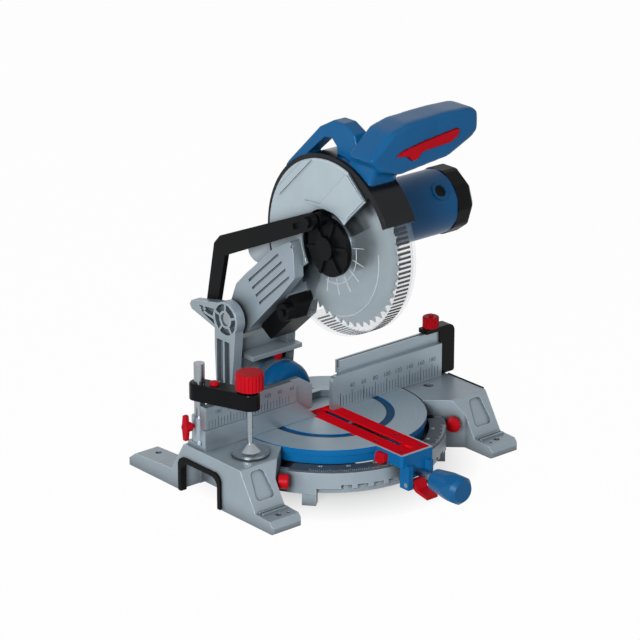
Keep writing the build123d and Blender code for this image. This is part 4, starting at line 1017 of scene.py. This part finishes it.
class SAW_OT_arm(bpy.types.Operator):
    """Head arm with four deep grooves along its left face"""

    bl_idname = "mitre_saw.arm"
    bl_label = "Arm"

    def execute(self, context):
        low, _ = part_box("head_arm")
        face = -low.x
        place = sideways()
        skin = prism([(y * MM, z * MM) for y, z in ARM_FACE], face - ARM_SKIN, face + ARM_PROUD, place)
        mesh = carved(cad_copy("head_arm"), skin, "UNION")
        cuts = []
        for i in range(GROOVE_COUNT):
            middle = GROOVE_EDGE - GROOVE_ACROSS * (GROOVE_FIRST + GROOVE_PITCH * i)
            corners = [
                middle + GROOVE_ALONG * GROOVE_HALF_LENGTH * a + GROOVE_ACROSS * GROOVE_HALF_WIDTH * b
                for a, b in CORNERS
            ]
            cuts.append(prism([corner * MM for corner in corners], face - GROOVE_DEPTH, face + CUT_OVER, place))
        mesh = carved(mesh, joined("grooves", cuts), "DIFFERENCE")
        piece = place_piece("arm", mesh, finish("cast"), "head")
        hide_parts("head_arm")
        return {"FINISHED"}


class SAW_OT_trigger(bpy.types.Operator):
    """Tapered trigger with a finger lug, in the place of the plain bar"""

    bl_idname = "mitre_saw.trigger"
    bl_label = "Trigger"

    def execute(self, context):
        mesh = prism([corner * MM for corner in TRIGGER_SIDE], TRIGGER_FRONT, TRIGGER_REAR, handle_place())
        piece = place_piece("trigger_blade", mesh, finish("red"), "trigger")
        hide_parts("trigger")
        return {"FINISHED"}


class SAW_OT_brush_rings(bpy.types.Operator):
    """Raised rings round the motor's two brush caps"""

    bl_idname = "mitre_saw.brush_rings"
    bl_label = "Brush rings"

    def execute(self, context):
        turns = [tau * i / BRUSH_SIDES for i in range(BRUSH_SIDES)]
        rings = []
        for angle in BRUSH_ANGLES:
            turn = radians(angle)
            place = axes((BRUSH_X, MOTOR_AXIS.y, MOTOR_AXIS.z), (1, 0, 0), (0, -sin(turn), cos(turn)))
            outer, inner = [
                prism(
                    [(radius * MM * cos(a), radius * MM * sin(a)) for a in turns],
                    MOTOR_RADIUS - depth * MM,
                    MOTOR_RADIUS + rise * MM,
                    place,
                )
                for radius, depth, rise in (BRUSH_RING, BRUSH_BORE)
            ]
            rings.append(carved(outer, inner, "DIFFERENCE"))
        place_piece("brush_rings", joined("brush_rings", rings), finish("blue"), "head")
        return {"FINISHED"}


class SAW_OT_grip(bpy.types.Operator):
    """Rounded grip and its neck, with the trigger's slot, in the place of the plain handle"""

    bl_idname = "mitre_saw.grip"
    bl_label = "Grip"

    def execute(self, context):
        place = handle_place()
        side = [(x * MM, z * MM) for x, z in GRIP_SIDE]
        grip = prism(side, -HANDLE_HALF_DEPTH, HANDLE_HALF_DEPTH, place)
        neck = frustum(NECK_FOOT, NECK_FOOT_SIZE, NECK_TOP, NECK_TOP_SIZE)
        mesh = softened(joined("grip", [grip, neck]), GRIP_VOXEL, GRIP_SMOOTHING)
        # The neck ends on the guard's shell.
        for vertex in mesh.vertices:
            arm = Vector((0, vertex.co.y - BLADE_AXIS.y, vertex.co.z - BLADE_AXIS.z))
            if arm.length < SHELL_RADIUS:
                vertex.co += arm.normalized() * (SHELL_RADIUS - arm.length)
        opening = [corner * MM for corner in grown(TRIGGER_SIDE, TRIGGER_CLEARANCE)]
        mesh = carved(mesh, prism(opening, TRIGGER_SLOT_FRONT, TRIGGER_SLOT_REAR, place), "DIFFERENCE")
        piece = place_piece("grip", mesh, finish("blue"), "head")
        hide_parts("main_handle")
        return {"FINISHED"}


class SAW_OT_guard_shell(bpy.types.Operator):
    """Dark shell of the fixed guard, open on its left beyond the silver face"""

    bl_idname = "mitre_saw.guard_shell"
    bl_label = "Guard shell"

    def execute(self, context):
        low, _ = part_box("guard_rim")
        reach = SHELL_RADIUS - SHELL_EDGE
        angles = [radians(OPENING_START + OPENING_STEP * i) for i in range(OPENING_CORNERS)]
        wedge = [(0.0, 0.0)] + [(reach * cos(a), reach * sin(a)) for a in angles]
        face = -low.x
        opening = prism(wedge, face - OPENING_DEPTH, face + CUT_OVER, sideways(BLADE_AXIS))
        mesh = carved(cad_copy("guard_rim"), opening, "DIFFERENCE")
        piece = place_piece("guard_shell", mesh, finish("rim"), "head")
        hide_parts("guard_rim")
        return {"FINISHED"}


class SAW_OT_stage(bpy.types.Operator):
    """Floor, soft light and the camera"""

    bl_idname = "mitre_saw.stage"
    bl_label = "Stage"

    def execute(self, context):
        stage = context.scene.saw_stage
        scene = context.scene
        scene.view_settings.view_transform = "Standard"
        mesh = bpy.data.meshes.new("floor")
        half = 30.0
        mesh.from_pydata([(half * sx, half * sy, 0) for sx, sy in CORNERS], [], [(0, 1, 2, 3)])
        floor = bpy.data.objects.new("floor", mesh)
        scene.collection.objects.link(floor)
        floor.data.materials.append(self.floor_material(stage))
        self.light_world(scene, stage)
        aim = Vector((0, 0, 0.2))
        for name, watts, size, place in (
            ("key", stage.key, 1.3, (-2.8, -1.75, 1.35)),
            ("fill", stage.fill, 1.6, (1.0, -2.8, 1.2)),
            ("top", stage.top, 2.0, (0.3, 0.9, 2.6)),
        ):
            lamp = bpy.data.lights.new(name, "AREA")
            lamp.energy = watts
            lamp.size = size
            holder = bpy.data.objects.new(name, lamp)
            holder.location = place
            holder.rotation_euler = (aim - Vector(place)).to_track_quat("-Z", "Y").to_euler()
            scene.collection.objects.link(holder)
        self.set_camera(scene, stage)
        return {"FINISHED"}

    def floor_material(self, stage):
        """Matt pale paper that the camera sees brighter than it is lit, least so in the shadow under the saw."""
        material = bpy.data.materials.new("studio_paper_matt")
        material.use_nodes = True
        tree = material.node_tree
        tree.nodes.clear()
        paper = add_node(tree, "ShaderNodeBsdfDiffuse", {"Color": stage.floor})
        glow = add_node(tree, "ShaderNodeEmission", {"Color": (1, 1, 1), "Strength": 1.0})
        seen = self.background_rays(tree)
        place = add_node(tree, "ShaderNodeTexCoord").outputs["Object"]
        away = add_node(tree, "ShaderNodeVectorMath", {0: place}, operation="LENGTH").outputs["Value"]
        glow_share = add_node(
            tree,
            "ShaderNodeMapRange",
            {"Value": away, "From Min": 0.1, "From Max": 0.2, "To Min": 0.5, "To Max": 0.98},
        ).outputs["Result"]
        share = add_node(tree, "ShaderNodeMath", {0: seen, 1: glow_share}, operation="MULTIPLY").outputs[0]
        mixed = add_node(tree, "ShaderNodeMixShader", {0: share, 1: paper.outputs[0], 2: glow.outputs[0]})
        add_node(tree, "ShaderNodeOutputMaterial", {"Surface": mixed.outputs[0]})
        return material

    def background_rays(self, tree):
        """1 for rays that show the background, straight, mirrored or through clear plastic."""
        path = add_node(tree, "ShaderNodeLightPath").outputs
        seen = path["Is Camera Ray"]
        for kind in ("Is Glossy Ray", "Is Transmission Ray"):
            seen = add_node(tree, "ShaderNodeMath", {0: seen, 1: path[kind]}, operation="MAXIMUM").outputs[0]
        return seen

    def light_world(self, scene, stage):
        """Soft light from all sides, weaker from above, seen as white."""
        world = bpy.data.worlds.new("studio")
        scene.world = world
        world.use_nodes = True
        tree = world.node_tree
        tree.nodes.clear()
        seen = self.background_rays(tree)
        direction = add_node(tree, "ShaderNodeTexCoord").outputs["Generated"]
        height = add_node(tree, "ShaderNodeSeparateXYZ", {"Vector": direction}).outputs["Z"]
        lit = add_node(
            tree,
            "ShaderNodeMapRange",
            {"Value": height, "From Min": 0.0, "From Max": 0.8, "To Min": stage.world, "To Max": 0.3 * stage.world},
        ).outputs["Result"]
        strength = add_node(tree, "ShaderNodeMapRange", {"Value": seen, "To Min": lit, "To Max": 1.0})
        sky = add_node(
            tree, "ShaderNodeBackground", {"Color": (1, 1, 1), "Strength": strength.outputs["Result"]}
        )
        add_node(tree, "ShaderNodeOutputWorld", {"Surface": sky.outputs[0]})

    def set_camera(self, scene, stage):
        """Camera where the photograph was taken from."""
        azimuth, elevation, distance = radians(-40.38), radians(20.59), 4.0167
        aside, raised = -0.01127, 0.11885
        right = Vector((cos(azimuth), sin(azimuth), 0))
        back = Vector((sin(azimuth) * cos(elevation), -cos(azimuth) * cos(elevation), sin(elevation)))
        up = back.cross(right)
        data = bpy.data.cameras.new("camera")
        data.lens = stage.lens
        data.sensor_width = 36.0
        data.clip_end = 100
        holder = bpy.data.objects.new("camera", data)
        matrix = Matrix((right, up, back)).transposed().to_4x4()
        matrix.translation = back * distance + right * aside + up * raised + Vector((0, 0, TABLE_TOP))
        holder.matrix_world = matrix
        scene.collection.objects.link(holder)
        scene.camera = holder


class SAW_PT_panel(bpy.types.Panel):
    """Lists the saw's operators"""

    bl_idname = "SAW_PT_panel"
    bl_label = "Mitre saw"
    bl_space_type = "VIEW_3D"
    bl_region_type = "UI"
    bl_category = "Mitre saw"

    def draw(self, context):
        for operator in OPERATORS:
            self.layout.operator(operator.bl_idname)


OPERATORS = (
    SAW_OT_finishes,
    SAW_OT_fence_scales,
    SAW_OT_mitre_scale,
    SAW_OT_bevel_scale,
    SAW_OT_guard_ribs,
    SAW_OT_arm,
    SAW_OT_trigger,
    SAW_OT_brush_rings,
    SAW_OT_grip,
    SAW_OT_guard_shell,
    SAW_OT_stage,
)
CLASSES = (SawColours, SawSizes, SawStage, *OPERATORS, SAW_PT_panel)


def register():
    """Registers the add-on's classes and settings."""
    for item in CLASSES:
        bpy.utils.register_class(item)
    bpy.types.Scene.saw_colours = PointerProperty(type=SawColours)
    bpy.types.Scene.saw_sizes = PointerProperty(type=SawSizes)
    bpy.types.Scene.saw_stage = PointerProperty(type=SawStage)


def unregister():
    """Removes the add-on's classes and settings."""
    del bpy.types.Scene.saw_stage
    del bpy.types.Scene.saw_sizes
    del bpy.types.Scene.saw_colours
    for item in reversed(CLASSES):
        bpy.utils.unregister_class(item)


def main():
    """Builds the saw's looks."""
    register()
    bpy.ops.mitre_saw.finishes()
    bpy.ops.mitre_saw.fence_scales()
    bpy.ops.mitre_saw.mitre_scale()
    bpy.ops.mitre_saw.bevel_scale()
    bpy.ops.mitre_saw.guard_ribs()
    bpy.ops.mitre_saw.arm()
    bpy.ops.mitre_saw.trigger()
    bpy.ops.mitre_saw.brush_rings()
    bpy.ops.mitre_saw.grip()
    bpy.ops.mitre_saw.guard_shell()
    bpy.ops.mitre_saw.stage()


if __name__ == "__main__":
    main()
